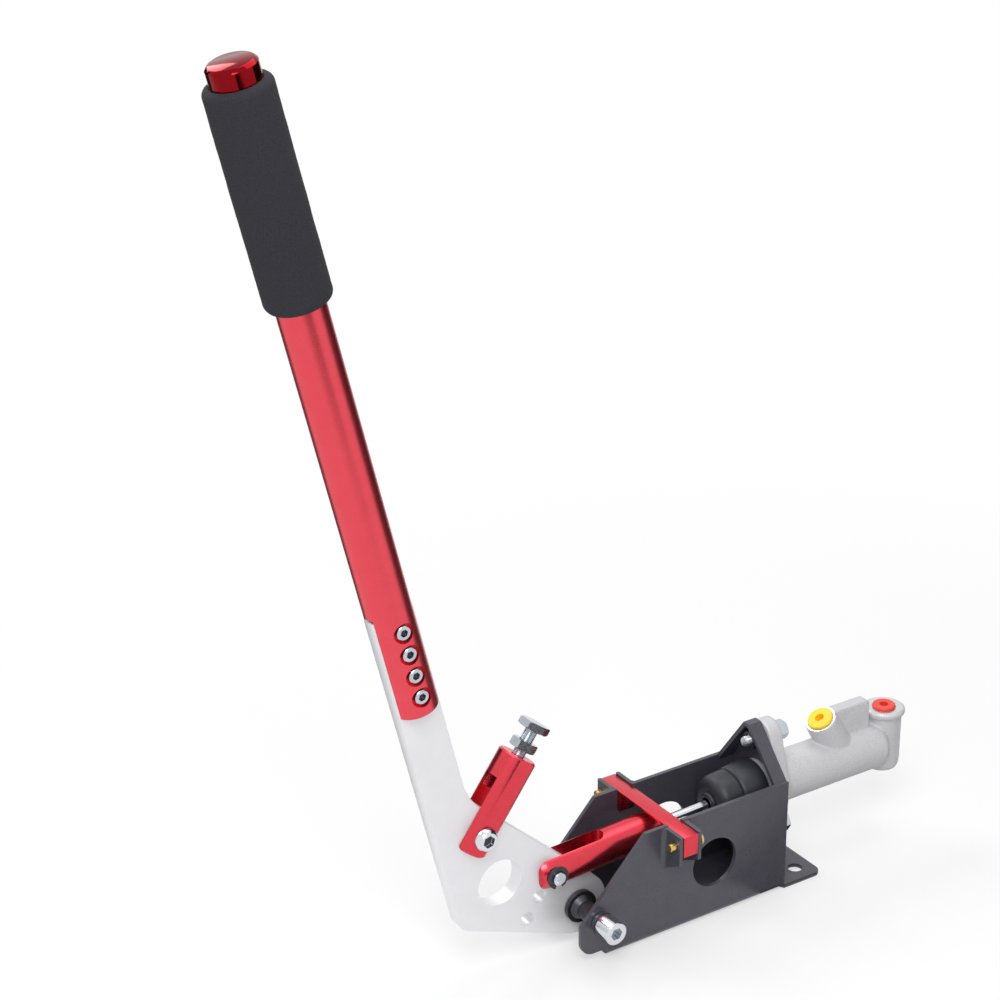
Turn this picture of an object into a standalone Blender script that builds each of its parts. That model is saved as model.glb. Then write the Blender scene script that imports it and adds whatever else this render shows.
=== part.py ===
"""Hydraulic parking brake lever: folded base, lever with a swing-over lock, and its own master cylinder.

Metres, +Z up. The origin lies on the underside of the base, in its centre plane, below the face that
the master cylinder is bolted to. X runs back along the cylinder, and the handle stands at the -X end.
"""

import math

import bmesh
import bpy
from mathutils import Matrix, Vector

# Gap kept between pieces that touch on the real object
GAP = 0.0003

# Base, folded from sheet
SHEET = 0.003
BASE_WIDTH = 0.064
BEND_RADIUS = 0.006
PIVOT_SETBACK = 0.1675
PIVOT_HEIGHT = 0.0325
EAR_REACH = 0.0159
EAR_SLOPE = math.radians(47)
EAR_SLOPE_FOOT = 0.0314
EAR_CORNER = 0.011
EAR_BOTTOM = 0.0072
FLOOR_SETBACK = 0.008
SIDE_HOLE_RADIUS = 0.01935
SIDE_HOLE_SETBACK = 0.0664
SIDE_HOLE_HEIGHT = 0.0455
REAR_TAB = 0.0355
REAR_TAB_CORNER = 0.006
MOUNT_HOLE_RADIUS = 0.0055
MOUNT_HOLE_EDGE = 0.014

# End plate that carries the cylinder
PEAK_RISE = 0.0135
NEAR_NUT_ROOM = 0.0004
FAR_NUT_ROOM = 0.0008
LIP_WIDTH = 0.011
LIP_FLARE = 0.007

# Crossbar and the tabs that hold it
BAR_FROM_PIVOT = 0.0588
BAR_THICK = 0.0127
BAR_DEPTH = 0.0162
BAR_ABOVE_ROD = 0.01885
BAR_BELOW_WALL = 0.0012
BAR_WEB = 0.0016
BAR_RELIEF_INSET = 0.0028
TAB_REACH = 0.0183
TAB_DROP = 0.0005
TAB_BEND = 0.004
TAB_DEPTH = 0.023
TAB_SLANT = 0.010
BAR_BOLT_RADIUS = 0.003
BAR_BOLT_EDGE = 0.0058
BAR_BOLT_HEAD = 0.0056
BAR_BOLT_HEAD_LENGTH = 0.0032
BAR_BOLT_TAIL = 0.005

# Pivot
PIVOT_BOLT_RADIUS = 0.005
PIVOT_HEAD_RADIUS = 0.0087
PIVOT_HEAD_LENGTH = 0.0136
PIVOT_COLLAR_RADIUS = 0.0073
PIVOT_COLLAR_LENGTH = 0.0037
PIVOT_RING_LENGTH = 0.0022
PIVOT_NUT_FLATS = 0.017
PIVOT_NUT_LENGTH = 0.008
PIVOT_TAIL = 0.0035
SPACER_FLANGE_RADIUS = 0.0123
SPACER_FLANGE = 0.004
SPACER_STEP_RADIUS = 0.0095
SPACER_HUB_RADIUS = 0.0068
BUSH_WALL = 0.003

# Lever plate, in the lever's own frame: across the arm, then along it
LEAN = math.radians(14.08)
PLATE_THICK = 0.012
EYE_RADIUS = 0.0233
ARM_FRONT = -0.092
ARM_WIDTH = 0.031
ARM_TOP = 0.297
HEEL_HEIGHT = 0.0368
HEEL_RADIUS = 0.012
SHOULDER_HEIGHT = 0.1338
SHOULDER_RADIUS = 0.050
WINDOW = (-0.0543, 0.0561)
WINDOW_RADIUS = 0.0176
PIN = (-0.0140, 0.0386)
SPARE_HOLE_PITCH = 0.0186
SPARE_HOLE_FALL = math.radians(41.5)
SPARE_HOLE_RADIUS = 0.0055
SPARE_HOLES = 2

# Handle
TUBE_RADIUS = 0.016
TUBE_BORE = 0.013
TUBE_START = 0.221
TUBE_END = 0.668
TUBE_SLOT_END = 0.300
TUBE_PLUG = 0.012
TUBE_SCREWS = 4
TUBE_SCREW_START = 0.2354
TUBE_SCREW_PITCH = 0.01713
TUBE_SCREW_RADIUS = 0.003
TUBE_SCREW_HEAD = 0.0052
TUBE_SCREW_HEAD_LENGTH = 0.0055
TUBE_COUNTERBORE = 0.0072
TUBE_SEAT = 0.0098
GRIP_START = 0.524
GRIP_RADIUS = 0.02175
GRIP_ROUND = 0.005
CAP_LENGTH = 0.0127
CAP_CHAMFER = 0.0025
CAP_STEM = 0.015

# Clevis, pin and push rod, along the rod from the pin
FORK_SLOT = PLATE_THICK + 2 * GAP
CLEVIS_RADIUS = 0.013
CLEVIS_NOSE = 0.011
CLEVIS_SLOT_END = 0.0475
CLEVIS_LENGTH = 0.0985
PIN_RADIUS = 0.005
PIN_OVERHANG = 0.0037
CLIP_RADIUS = 0.0085
CLIP_THICK = 0.0012
ROD_RADIUS = 0.004
ROD_THREAD = 0.026
ROD_NUT_FLATS = 0.013
ROD_NUT_LENGTH = 0.0065
BALL_RADIUS = 0.0055
BALL_DEPTH = 0.002

# Swing-over lock strut, along the strut from its screw
STRUT_SCREW = (-0.059, 0.102)
STRUT_RISE = math.radians(54.2)
STRUT_RADIUS = 0.014
STRUT_FLATS = 0.025
STRUT_TAIL = 0.0143
STRUT_LENGTH = 0.060
STRUT_SLOT_END = 0.041
STRUT_EDGE = 0.0012
STRUT_SCREW_RADIUS = 0.004
STRUT_HEAD_RADIUS = 0.00875
STRUT_HEAD_LENGTH = 0.0045
STRUT_NUT_FLATS = 0.013
STRUT_NUT_LENGTH = 0.0065
LOCK_RADIUS = 0.00475
LOCK_START = 0.030
LOCK_HEAD_START = 0.0798
LOCK_HEAD_LENGTH = 0.0056
LOCK_HEAD_FLATS = 0.020
LOCK_NUT_START = 0.06445
LOCK_NUT_LENGTH = 0.0065
LOCK_NUT_FLATS = 0.017

# Master cylinder, along its axis from the face of the end plate
CYLINDER_HEIGHT = 0.074
BARREL_RADIUS = 0.0186
BARREL_END = 0.1125
SPIGOT_RADIUS = 0.0198
SPIGOT_REACH = 0.012
FLANGE_THICK = 0.012
FLANGE_RADIUS = 0.0205
FLANGE_LOBE = 0.013
FLANGE_BOLT_REACH = 0.0375
FLANGE_TILT = math.radians(5.4)
FLANGE_BOLT_RADIUS = 0.004
FLANGE_BOLT_FLATS = 0.013
FLANGE_BOLT_HEAD = 0.0085
FLANGE_NUT_LENGTH = 0.0065
WASHER_FACE = 0.0015
FLANGE_BOLT_TAIL = 0.0145
BORE_RADIUS = 0.00955
BORE_END = 0.095
MOUTH_RADIUS = 0.011
MOUTH_END = 0.0012
INLET_CENTRE = 0.1175
INLET_RADIUS = 0.0132
INLET_FOOT = 0.022
INLET_TOP = 0.024
INLET_RIM_RADIUS = 0.016
INLET_RIM = 0.0045
OUTLET_CENTRE = 0.055
OUTLET_RISE = 0.0365
OUTLET_RADIUS = 0.0122
OUTLET_TILT = math.radians(30)
WEB_THICK = 0.010
WEB_START = 0.060
WEB_END = 0.099
WEB_TOP = 0.042
PORT_RADIUS = 0.0052
PORT_DEPTH = 0.014
PASSAGE_RADIUS = 0.0016
SPOT_DEPTH = 0.0005
PLUG_CAP = 0.002
OUTLET_PLUG_RADIUS = 0.010
INLET_PLUG_RADIUS = 0.0088
PLUG_STEM = 0.009
PLUG_RECESS = 0.0035

# Inside the cylinder
PISTON_RADIUS = 0.0093
PISTON_NECK = 0.0055
PISTON_END = 0.048
PISTON_SOCKET = 0.0067
SOCKET_TAPER = 0.003
PISTON_LAND = 0.002
PISTON_WAIST = 0.002
SEAL_LENGTH = 0.0045
SEAL_RADIUS = 0.00945
SECOND_SEAL = 0.014
FIRST_SEAL = PISTON_END - 0.003 - SEAL_LENGTH
STOP_THICK = 0.0012
STOP_BORE = 0.0053
CLIP_WIRE = 0.0012
SPRING_WIRE = 0.0009
SPRING_TURNS = 6

# Boot over the open end of the cylinder
BOOT_NOSE = 0.050
BOOT_WALL = 0.0014
BOOT_RADIUS = 0.0215
BOOT_SHOULDER = 0.0196
BOOT_ROUND = 0.012
BOOT_CREASE = 0.0211
BOOT_CREASE_HALF = 0.0012
BOOT_STRAIGHT = 0.003
BOOT_HUB = 0.0085
BOOT_HUB_LENGTH = 0.0022
BOOT_ROD_ROOM = 0.0015
BOOT_GRIP = 0.0045

ARC_STEP = math.radians(18)
EDGE = 0.0005

# Pieces on which the exact Boolean solver leaves open edges, where facets of two shapes line up
LEFT_OPEN_BY_EXACT = {"base_channel", "cylinder_body", "flange_bolt_upper", "flange_bolt_lower"}

PIVOT = Vector((-PIVOT_SETBACK, 0, PIVOT_HEIGHT))
HALF_WIDTH = BASE_WIDTH / 2
HALF_PLATE = PLATE_THICK / 2
ARM_BACK = ARM_FRONT + ARM_WIDTH
ARM_CENTRE = ARM_FRONT + ARM_WIDTH / 2
LEVER_TURN = Matrix.Rotation(-LEAN, 3, "Y")
PIN_PLACE = PIVOT + LEVER_TURN @ Vector((PIN[0], 0, PIN[1]))
BALL_PLACE = Vector((BALL_DEPTH, 0, CYLINDER_HEIGHT))
ROD_LENGTH = (BALL_PLACE - PIN_PLACE).length
ROD_RISE = math.asin((BALL_PLACE.z - PIN_PLACE.z) / ROD_LENGTH)
BOLT_CIRCLE = [
    (side * FLANGE_BOLT_REACH * math.sin(FLANGE_TILT), side * FLANGE_BOLT_REACH * math.cos(FLANGE_TILT))
    for side in (1, -1)
]


def lip_slope(foot, nut, distance):
    """Slope of a lip whose outer line starts at its foot and passes a nut's centre at a distance."""
    across, up = nut[0] + foot[0], nut[1] - foot[1]
    return math.atan2(up, across) + math.asin(distance / math.hypot(across, up))


# The bar clears the rod below it, the walls carry the bar, and the end plate's lips clear the upper nut
BAR_FRONT = PIVOT.x + BAR_FROM_PIVOT
BAR_BACK = BAR_FRONT + BAR_THICK
ROD_UNDER_BAR = PIN_PLACE.z + (BAR_FRONT + BAR_THICK / 2 - PIN_PLACE.x) * math.tan(ROD_RISE)
BAR_TOP = ROD_UNDER_BAR + BAR_ABOVE_ROD
BAR_BOTTOM = BAR_TOP - BAR_DEPTH
BAR_HALF = HALF_WIDTH + TAB_REACH
BAR_BOLT_Y = BAR_HALF - BAR_BOLT_EDGE
BAR_BOLT_Z = BAR_TOP - BAR_DEPTH / 2
WALL_HEIGHT = BAR_TOP + BAR_BELOW_WALL
UPPER_NUT = (BOLT_CIRCLE[0][0], CYLINDER_HEIGHT + BOLT_CIRCLE[0][1])
NUT_FLAT = FLANGE_BOLT_FLATS / 2
NUT_CORNER = FLANGE_BOLT_FLATS / math.sqrt(3)
PEAK = UPPER_NUT[1] + PEAK_RISE
LIP_FOOT = (HALF_WIDTH - SHEET / 2, WALL_HEIGHT - SHEET / 2)
NEAR_LIP_SLOPE = lip_slope(LIP_FOOT, UPPER_NUT, NUT_FLAT + SHEET + NEAR_NUT_ROOM)
FAR_LIP_SLOPE = lip_slope(LIP_FOOT, (-UPPER_NUT[0], UPPER_NUT[1]), NUT_CORNER + SHEET + FAR_NUT_ROOM)
PEAK_NEAR = (PEAK - LIP_FOOT[1]) / math.tan(NEAR_LIP_SLOPE) - LIP_FOOT[0]
PEAK_FAR = LIP_FOOT[0] - (PEAK - LIP_FOOT[1]) / math.tan(FAR_LIP_SLOPE)


def srgb(red, green, blue):
    """Linear colour of a colour seen as 0 to 255."""
    return [((value / 255 + 0.055) / 1.055) ** 2.4 if value > 10 else value / 3294 for value in (red, green, blue)]


def material(name, colour, roughness, metallic=0.0):
    made = bpy.data.materials.new(name)
    made.use_nodes = True
    shader = made.node_tree.nodes["Principled BSDF"]
    shader.inputs["Base Color"].default_value = (*srgb(*colour), 1)
    shader.inputs["Roughness"].default_value = roughness
    shader.inputs["Metallic"].default_value = metallic
    made.diffuse_color = (*srgb(*colour), 1)
    return made


def new_object(name, bm):
    bmesh.ops.recalc_face_normals(bm, faces=bm.faces)
    mesh = bpy.data.meshes.new(name)
    bm.to_mesh(mesh)
    bm.free()
    obj = bpy.data.objects.new(name, mesh)
    bpy.context.collection.objects.link(obj)
    return obj


def apply_modifiers(obj):
    graph = bpy.context.evaluated_depsgraph_get()
    plain = obj.data
    obj.data = bpy.data.meshes.new_from_object(obj.evaluated_get(graph))
    obj.modifiers.clear()
    bpy.data.meshes.remove(plain)


def combine(obj, other, operation):
    """Boolean of two closed meshes."""
    boolean = obj.modifiers.new(operation.lower(), "BOOLEAN")
    boolean.operation = operation
    boolean.object = other
    boolean.solver = "MANIFOLD" if obj.name in LEFT_OPEN_BY_EXACT else "EXACT"
    apply_modifiers(obj)
    bpy.data.objects.remove(other, do_unlink=True)


def cut(obj, *cutters):
    for cutter in cutters:
        combine(obj, cutter, "DIFFERENCE")


def join(obj, *others):
    for other in others:
        combine(obj, other, "UNION")


def soften(obj, width=EDGE, segments=1):
    """Breaks the sharp edges of a piece before anything is cut from it."""
    bevel = obj.modifiers.new("soften", "BEVEL")
    bevel.width = width
    bevel.segments = segments
    bevel.limit_method = "ANGLE"
    bevel.angle_limit = math.radians(40)
    apply_modifiers(obj)


def facets(radius):
    """Sides of a round piece, more on a larger one."""
    return 10 if radius < 0.0035 else 12 if radius < 0.006 else 16 if radius < 0.0128 else 24


def arc(centre, radius, start, end):
    """Points of an arc from one angle to another, both ends included."""
    steps = max(2, math.ceil(abs(end - start) / ARC_STEP))
    angles = [start + (end - start) * step / steps for step in range(steps + 1)]
    return [(centre[0] + radius * math.cos(angle), centre[1] + radius * math.sin(angle)) for angle in angles]


def rounded(corners):
    """Closed outline through corners (a, b, radius), each an arc where its radius isn't 0."""
    outline = []
    for i, (a, b, radius) in enumerate(corners):
        corner = Vector((a, b))
        last, following = corners[i - 1], corners[(i + 1) % len(corners)]
        to_last, to_next = Vector(last[:2]) - corner, Vector(following[:2]) - corner
        if not radius:
            outline.append((a, b))
            continue
        half = to_last.angle(to_next) / 2
        room = min(
            to_last.length * (0.5 if last[2] else 1),
            to_next.length * (0.5 if following[2] else 1),
        )
        reach = min(radius / math.tan(half), room)
        limited = reach * math.tan(half)
        inward = (to_last.normalized() + to_next.normalized()).normalized()
        centre = corner + inward * (limited / math.sin(half))
        start = corner + to_last.normalized() * reach - centre
        end = corner + to_next.normalized() * reach - centre
        first = math.atan2(start.y, start.x)
        turn = (math.atan2(end.y, end.x) - first + math.pi) % (2 * math.pi) - math.pi
        outline += arc(centre, limited, first, first + turn)
    return [p for i, p in enumerate(outline) if math.dist(p, outline[i - 1]) > 1e-6]


def belt(circles):
    """Outline of a belt laid anticlockwise round circles (a, b, radius)."""
    touches = []
    for i, (a, b, radius) in enumerate(circles):
        c, d, following = circles[(i + 1) % len(circles)]
        way = math.atan2(d - b, c - a)
        touches.append(way - math.acos((radius - following) / math.hypot(c - a, d - b)))
    outline = []
    for i, (a, b, radius) in enumerate(circles):
        start = touches[i - 1]
        outline += arc((a, b), radius, start, start + (touches[i] - start) % (2 * math.pi))
    return outline


def prism(name, outline, low, high, axes):
    """Solid between two copies of an outline. axes names where its two coordinates and its depth point."""
    order = ["XYZ".index(axis) for axis in axes]
    bm = bmesh.new()
    ends = []
    for depth in (low, high):
        ring = []
        for a, b in outline:
            point = Vector()
            for place, value in zip(order, (a, b, depth)):
                point[place] = value
            ring.append(bm.verts.new(point))
        bm.faces.new(ring)
        ends.append(ring)
    for i in range(len(outline)):
        bm.faces.new((ends[0][i - 1], ends[0][i], ends[1][i], ends[1][i - 1]))
    return new_object(name, bm)


def block(name, low, high):
    """Box between two corners."""
    (x0, y0, z0), (x1, y1, z1) = low, high
    return prism(name, [(x0, y0), (x1, y0), (x1, y1), (x0, y1)], z0, z1, "XYZ")


def turned(name, profile, axis, ring=False, sides=None):
    """Solid turned about an axis from points (along, radius). Its ends are flat, or closed on each other."""
    along = "XYZ".index(axis)
    first, second = [i for i in range(3) if i != along]
    sides = sides or facets(max(radius for _, radius in profile))
    bm = bmesh.new()
    rings = []
    for place, radius in profile:
        verts = []
        for side in range(sides):
            angle = 2 * math.pi * side / sides
            point = Vector()
            point[along] = place
            point[first] = radius * math.cos(angle)
            point[second] = radius * math.sin(angle)
            verts.append(bm.verts.new(point))
        rings.append(verts)
    pairs = list(zip(rings, rings[1:]))
    if ring:
        pairs.append((rings[-1], rings[0]))
    else:
        bm.faces.new(rings[0])
        bm.faces.new(rings[-1])
    for low, high in pairs:
        for i in range(sides):
            bm.faces.new((low[i - 1], low[i], high[i], high[i - 1]))
    return new_object(name, bm)


def tube(name, inner, outer, low, high, axis, edge=0.0):
    """Ring or sleeve, with its outer edges broken where edge isn't 0."""
    outside = [(low, outer), (high, outer)]
    if edge:
        outside = [(low, outer - edge), (low + edge, outer), (high - edge, outer), (high, outer - edge)]
    return turned(name, [(low, inner), *outside, (high, inner)], axis, ring=True)


def drill(obj, radius, axis, centre, low, high):
    """Cuts a round hole along an axis through centre, from low to high along that axis."""
    cutter = turned("drill", [(low, radius), (high, radius)], axis)
    cutter.data.transform(Matrix.Translation(centre))
    cut(obj, cutter)


def hexagon(flats, turn=0.0):
    radius = flats / math.sqrt(3)
    angles = [turn + math.radians(60 * i) for i in range(6)]
    return [(radius * math.cos(angle), radius * math.sin(angle)) for angle in angles]


def hex_solid(name, flats, low, high, axis, turn=0.0):
    """Hexagonal head or nut blank with both ends chamfered."""
    axes = {"X": "YZX", "Y": "XZY", "Z": "XYZ"}[axis]
    solid = prism(name, hexagon(flats, turn), low, high, axes)
    corner = flats / math.sqrt(3)
    drop = (corner - flats / 2) * 0.6
    profile = [
        (low - EDGE, flats / 2 - EDGE),
        (low + drop, corner + EDGE / 2),
        (high - drop, corner + EDGE / 2),
        (high + EDGE, flats / 2 - EDGE),
    ]
    combine(solid, turned("chamfer", profile, axis, sides=18), "INTERSECT")
    return solid


def nut(name, flats, length, bore, axis, turn=0.0):
    """Hexagonal nut from 0 to length along its axis."""
    solid = hex_solid(name, flats, 0, length, axis, turn)
    drill(solid, bore + GAP, axis, (0, 0, 0), -EDGE, length + EDGE)
    return solid


def socket_screw(name, head, head_length, shank, length, axis, dome=EDGE):
    """Screw whose head reaches back from 0 and whose shank runs forward, with a hexagonal key recess."""
    profile = [
        (-head_length, head - dome),
        (-head_length + dome, head - dome * 0.15),
        (0, head),
        (0, shank),
        (length - EDGE, shank),
        (length, shank - EDGE),
    ]
    solid = turned(name, profile, axis)
    axes = {"X": "YZX", "Y": "XZY"}[axis]
    key = head * 0.95
    cut(solid, prism("key", hexagon(key), -head_length - EDGE, -head_length * 0.45, axes))
    return solid


def place(obj, finish, parent=None, location=(0, 0, 0), rotation=(0, 0, 0)):
    """Gives a finished piece its material, shading, parent and place."""
    obj.data.materials.clear()
    obj.data.materials.append(finish)
    obj.data.shade_smooth()
    obj.data.set_sharp_from_angle(angle=math.radians(32))
    obj.location = location
    obj.rotation_euler = rotation
    obj.parent = parent
    return obj


def axis_empty(name, location, rise, parent=None):
    """Empty on a joint's axis, with its local X turned up from its parent's by an angle."""
    empty = bpy.data.objects.new(name, None)
    empty.empty_display_size = 0.02
    bpy.context.collection.objects.link(empty)
    empty.location = location
    empty.rotation_euler = (0, -rise, 0)
    empty.parent = parent
    return empty


def channel_walls():
    """U section bent from sheet, with the front of its walls cut to a slope and the floor cut back."""
    inner = HALF_WIDTH - SHEET
    bend = BEND_RADIUS - SHEET
    section = rounded([
        (-HALF_WIDTH, WALL_HEIGHT, 0),
        (-HALF_WIDTH, 0, BEND_RADIUS),
        (HALF_WIDTH, 0, BEND_RADIUS),
        (HALF_WIDTH, WALL_HEIGHT, 0),
        (inner, WALL_HEIGHT, 0),
        (inner, SHEET, bend),
        (-inner, SHEET, bend),
        (-inner, WALL_HEIGHT, 0),
    ])
    front = PIVOT.x - EAR_REACH
    beyond = 0.02
    channel = prism("base_channel", section, front - beyond / 2, 0, "YZX")
    rise = WALL_HEIGHT + beyond - EAR_SLOPE_FOOT
    ahead = rounded([
        (front - beyond, WALL_HEIGHT + beyond, 0),
        (front + rise / math.tan(EAR_SLOPE), WALL_HEIGHT + beyond, 0),
        (front, EAR_SLOPE_FOOT, 0.004),
        (front, EAR_BOTTOM, EAR_CORNER),
        (PIVOT.x + FLOOR_SETBACK, EAR_BOTTOM, 0.004),
        (PIVOT.x + FLOOR_SETBACK, -beyond, 0),
        (front - beyond, -beyond, 0),
    ])
    cut(channel, prism("front_cut", ahead, -BASE_WIDTH, BASE_WIDTH, "XZY"))
    slot_low = (BAR_FRONT - GAP, -BASE_WIDTH, BAR_BOTTOM - GAP)
    slot_high = (BAR_BACK + GAP, BASE_WIDTH, WALL_HEIGHT + beyond)
    cut(channel, block("bar_slot", slot_low, slot_high))
    return channel


def bar_tab(side, face, way):
    """Tab bent out of a wall beside the crossbar, with its lower edge slanted down to the wall."""
    root = HALF_WIDTH - SHEET / 2
    back = face + way * SHEET
    top = WALL_HEIGHT - TAB_DROP
    low_outside = WALL_HEIGHT - TAB_DEPTH
    low_at_wall = low_outside - TAB_SLANT
    plan = rounded([
        (face, side * root, 0),
        (face, side * BAR_HALF, 0.001),
        (back, side * BAR_HALF, 0.001),
        (back, side * HALF_WIDTH, TAB_BEND),
        (back + way * TAB_BEND, side * HALF_WIDTH, 0),
        (back + way * TAB_BEND, side * root, 0),
    ])
    tab = prism("tab", plan, low_at_wall, top, "XYZ")
    slope = (low_outside - low_at_wall) / TAB_REACH
    past = 0.005
    wedge = [
        (side * (HALF_WIDTH - past), low_at_wall - slope * past),
        (side * (BAR_HALF + past), low_outside + slope * past),
        (side * (BAR_HALF + past), low_at_wall - past),
        (side * (HALF_WIDTH - past), low_at_wall - past),
    ]
    cut(tab, prism("slant", wedge, face - BASE_WIDTH, face + BASE_WIDTH, "YZX"))
    return tab


def lip(foot, peak, front_foot, front_peak):
    """Flange folded forward along a slanted edge of the end plate, in line with that edge."""
    edge = Vector(peak) - Vector(foot)
    along = edge.normalized()
    inward = Vector((along.y, -along.x))
    if inward.x * foot[0] > 0:
        inward.negate()
    plan = rounded([(0, 0, 0), (edge.length, 0, 0), (edge.length, -front_peak, 0.001), (0, -front_foot, 0.002)])
    made = prism("lip", plan, 0, SHEET, "XYZ")
    turn = Matrix((
        (0, 1, 0, 0),
        (along.x, 0, inward.x, foot[0]),
        (along.y, 0, inward.y, foot[1]),
        (0, 0, 0, 1),
    ))
    made.data.transform(turn)
    if turn.determinant() < 0:
        made.data.flip_normals()
    return made


def base_channel():
    """Whole folded base: channel, crossbar tabs, peaked end plate with its lips, and rear tab."""
    channel = channel_walls()
    for side in (-1, 1):
        join(channel, bar_tab(side, BAR_FRONT - GAP, -1), bar_tab(side, BAR_BACK + GAP, 1))
    root, shelf = LIP_FOOT
    inset = SHEET / 2
    end_plate = [
        (-root, inset),
        (root, inset),
        (root, shelf),
        (PEAK_FAR, PEAK - 1.5 * inset),
        (PEAK_NEAR, PEAK - 1.5 * inset),
        (-root, shelf),
    ]
    join(channel, prism("end_plate", end_plate, -SHEET, 0, "YZX"))
    join(channel, lip((-root, shelf), (PEAK_NEAR, PEAK), LIP_WIDTH, LIP_WIDTH))
    join(channel, lip((root, shelf), (PEAK_FAR, PEAK), LIP_WIDTH + LIP_FLARE, LIP_WIDTH))
    crest = [(PEAK_NEAR - inset, PEAK - SHEET), (PEAK_FAR + inset, PEAK - SHEET), (PEAK_FAR, PEAK), (PEAK_NEAR, PEAK)]
    join(channel, prism("crest", crest, -LIP_WIDTH, 0, "YZX"))
    tab = rounded([
        (-SHEET, -HALF_WIDTH + BEND_RADIUS, 0),
        (0, -HALF_WIDTH, 0),
        (REAR_TAB, -HALF_WIDTH, REAR_TAB_CORNER),
        (REAR_TAB, HALF_WIDTH, REAR_TAB_CORNER),
        (0, HALF_WIDTH, 0),
        (-SHEET, HALF_WIDTH - BEND_RADIUS, 0),
    ])
    join(channel, prism("rear_tab", tab, 0, SHEET, "XYZ"))
    hole_y = HALF_WIDTH - MOUNT_HOLE_EDGE
    for x in (REAR_TAB - MOUNT_HOLE_EDGE, PIVOT.x + FLOOR_SETBACK + MOUNT_HOLE_EDGE):
        for y in (-hole_y, hole_y):
            drill(channel, MOUNT_HOLE_RADIUS, "Z", (x, y, 0), -SHEET, 2 * SHEET)
    side_hole = (-SIDE_HOLE_SETBACK, 0, SIDE_HOLE_HEIGHT)
    drill(channel, SIDE_HOLE_RADIUS, "Y", side_hole, -BASE_WIDTH, BASE_WIDTH)
    drill(channel, PIVOT_BOLT_RADIUS + GAP, "Y", PIVOT, -BASE_WIDTH, BASE_WIDTH)
    spigot = (0, 0, CYLINDER_HEIGHT)
    drill(channel, SPIGOT_RADIUS + 2 * GAP, "X", spigot, -2 * SHEET, SHEET)
    for y, z in BOLT_CIRCLE:
        drill(channel, FLANGE_BOLT_RADIUS + GAP, "X", (0, y, CYLINDER_HEIGHT + z), -2 * SHEET, SHEET)
    for y in (-BAR_BOLT_Y, BAR_BOLT_Y):
        centre = (BAR_FRONT, y, BAR_BOLT_Z)
        drill(channel, BAR_BOLT_RADIUS + GAP, "X", centre, -3 * SHEET, BAR_THICK + 3 * SHEET)
    return channel


def crossbar():
    """Bar across the top of the walls, cut away below so that the clevis passes under its middle."""
    relief = HALF_WIDTH - SHEET - BAR_RELIEF_INSET
    section = rounded([
        (-BAR_HALF, BAR_BOTTOM, 0),
        (-relief, BAR_BOTTOM, 0),
        (-relief, BAR_TOP - BAR_WEB, 0.003),
        (relief, BAR_TOP - BAR_WEB, 0.003),
        (relief, BAR_BOTTOM, 0),
        (BAR_HALF, BAR_BOTTOM, 0),
        (BAR_HALF, BAR_TOP, 0),
        (-BAR_HALF, BAR_TOP, 0),
    ])
    bar = prism("crossbar", section, BAR_FRONT, BAR_BACK, "YZX")
    soften(bar, EDGE / 2)
    for y in (-BAR_BOLT_Y, BAR_BOLT_Y):
        drill(bar, BAR_BOLT_RADIUS + GAP, "X", (BAR_FRONT, y, BAR_BOLT_Z), -EDGE, BAR_THICK + EDGE)
    return bar


def crossbar_bolt(name):
    """Pan head bolt through both tabs and the bar, its head behind the rear tab and its shank to the front."""
    grip = BAR_THICK + 2 * (SHEET + 2 * GAP) + BAR_BOLT_TAIL
    head = [
        (0, BAR_BOLT_HEAD),
        (BAR_BOLT_HEAD_LENGTH * 0.55, BAR_BOLT_HEAD * 0.96),
        (BAR_BOLT_HEAD_LENGTH * 0.85, BAR_BOLT_HEAD * 0.75),
        (BAR_BOLT_HEAD_LENGTH, BAR_BOLT_HEAD * 0.4),
    ]
    shank = [(-grip, BAR_BOLT_RADIUS - EDGE), (-grip + EDGE, BAR_BOLT_RADIUS), (0, BAR_BOLT_RADIUS)]
    bolt = turned(name, shank + head, "X")
    key = hexagon(BAR_BOLT_HEAD * 0.7)
    cut(bolt, prism("key", key, BAR_BOLT_HEAD_LENGTH * 0.4, BAR_BOLT_HEAD_LENGTH + EDGE, "YZX"))
    return bolt


def pivot_spacer(name, side):
    """Flanged spacer from the lever plate out to a wall."""
    start = HALF_PLATE + GAP
    end = HALF_WIDTH - SHEET - GAP
    bore = PIVOT_BOLT_RADIUS + GAP
    profile = [
        (start, bore),
        (start, SPACER_FLANGE_RADIUS - EDGE),
        (start + EDGE, SPACER_FLANGE_RADIUS),
        (start + SPACER_FLANGE, SPACER_FLANGE_RADIUS),
        (start + SPACER_FLANGE, SPACER_STEP_RADIUS),
        (start + 2 * SPACER_FLANGE, SPACER_HUB_RADIUS),
        (end, SPACER_HUB_RADIUS),
        (end, bore),
    ]
    return turned(name, [(side * along, radius) for along, radius in profile], "Y", ring=True)


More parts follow.
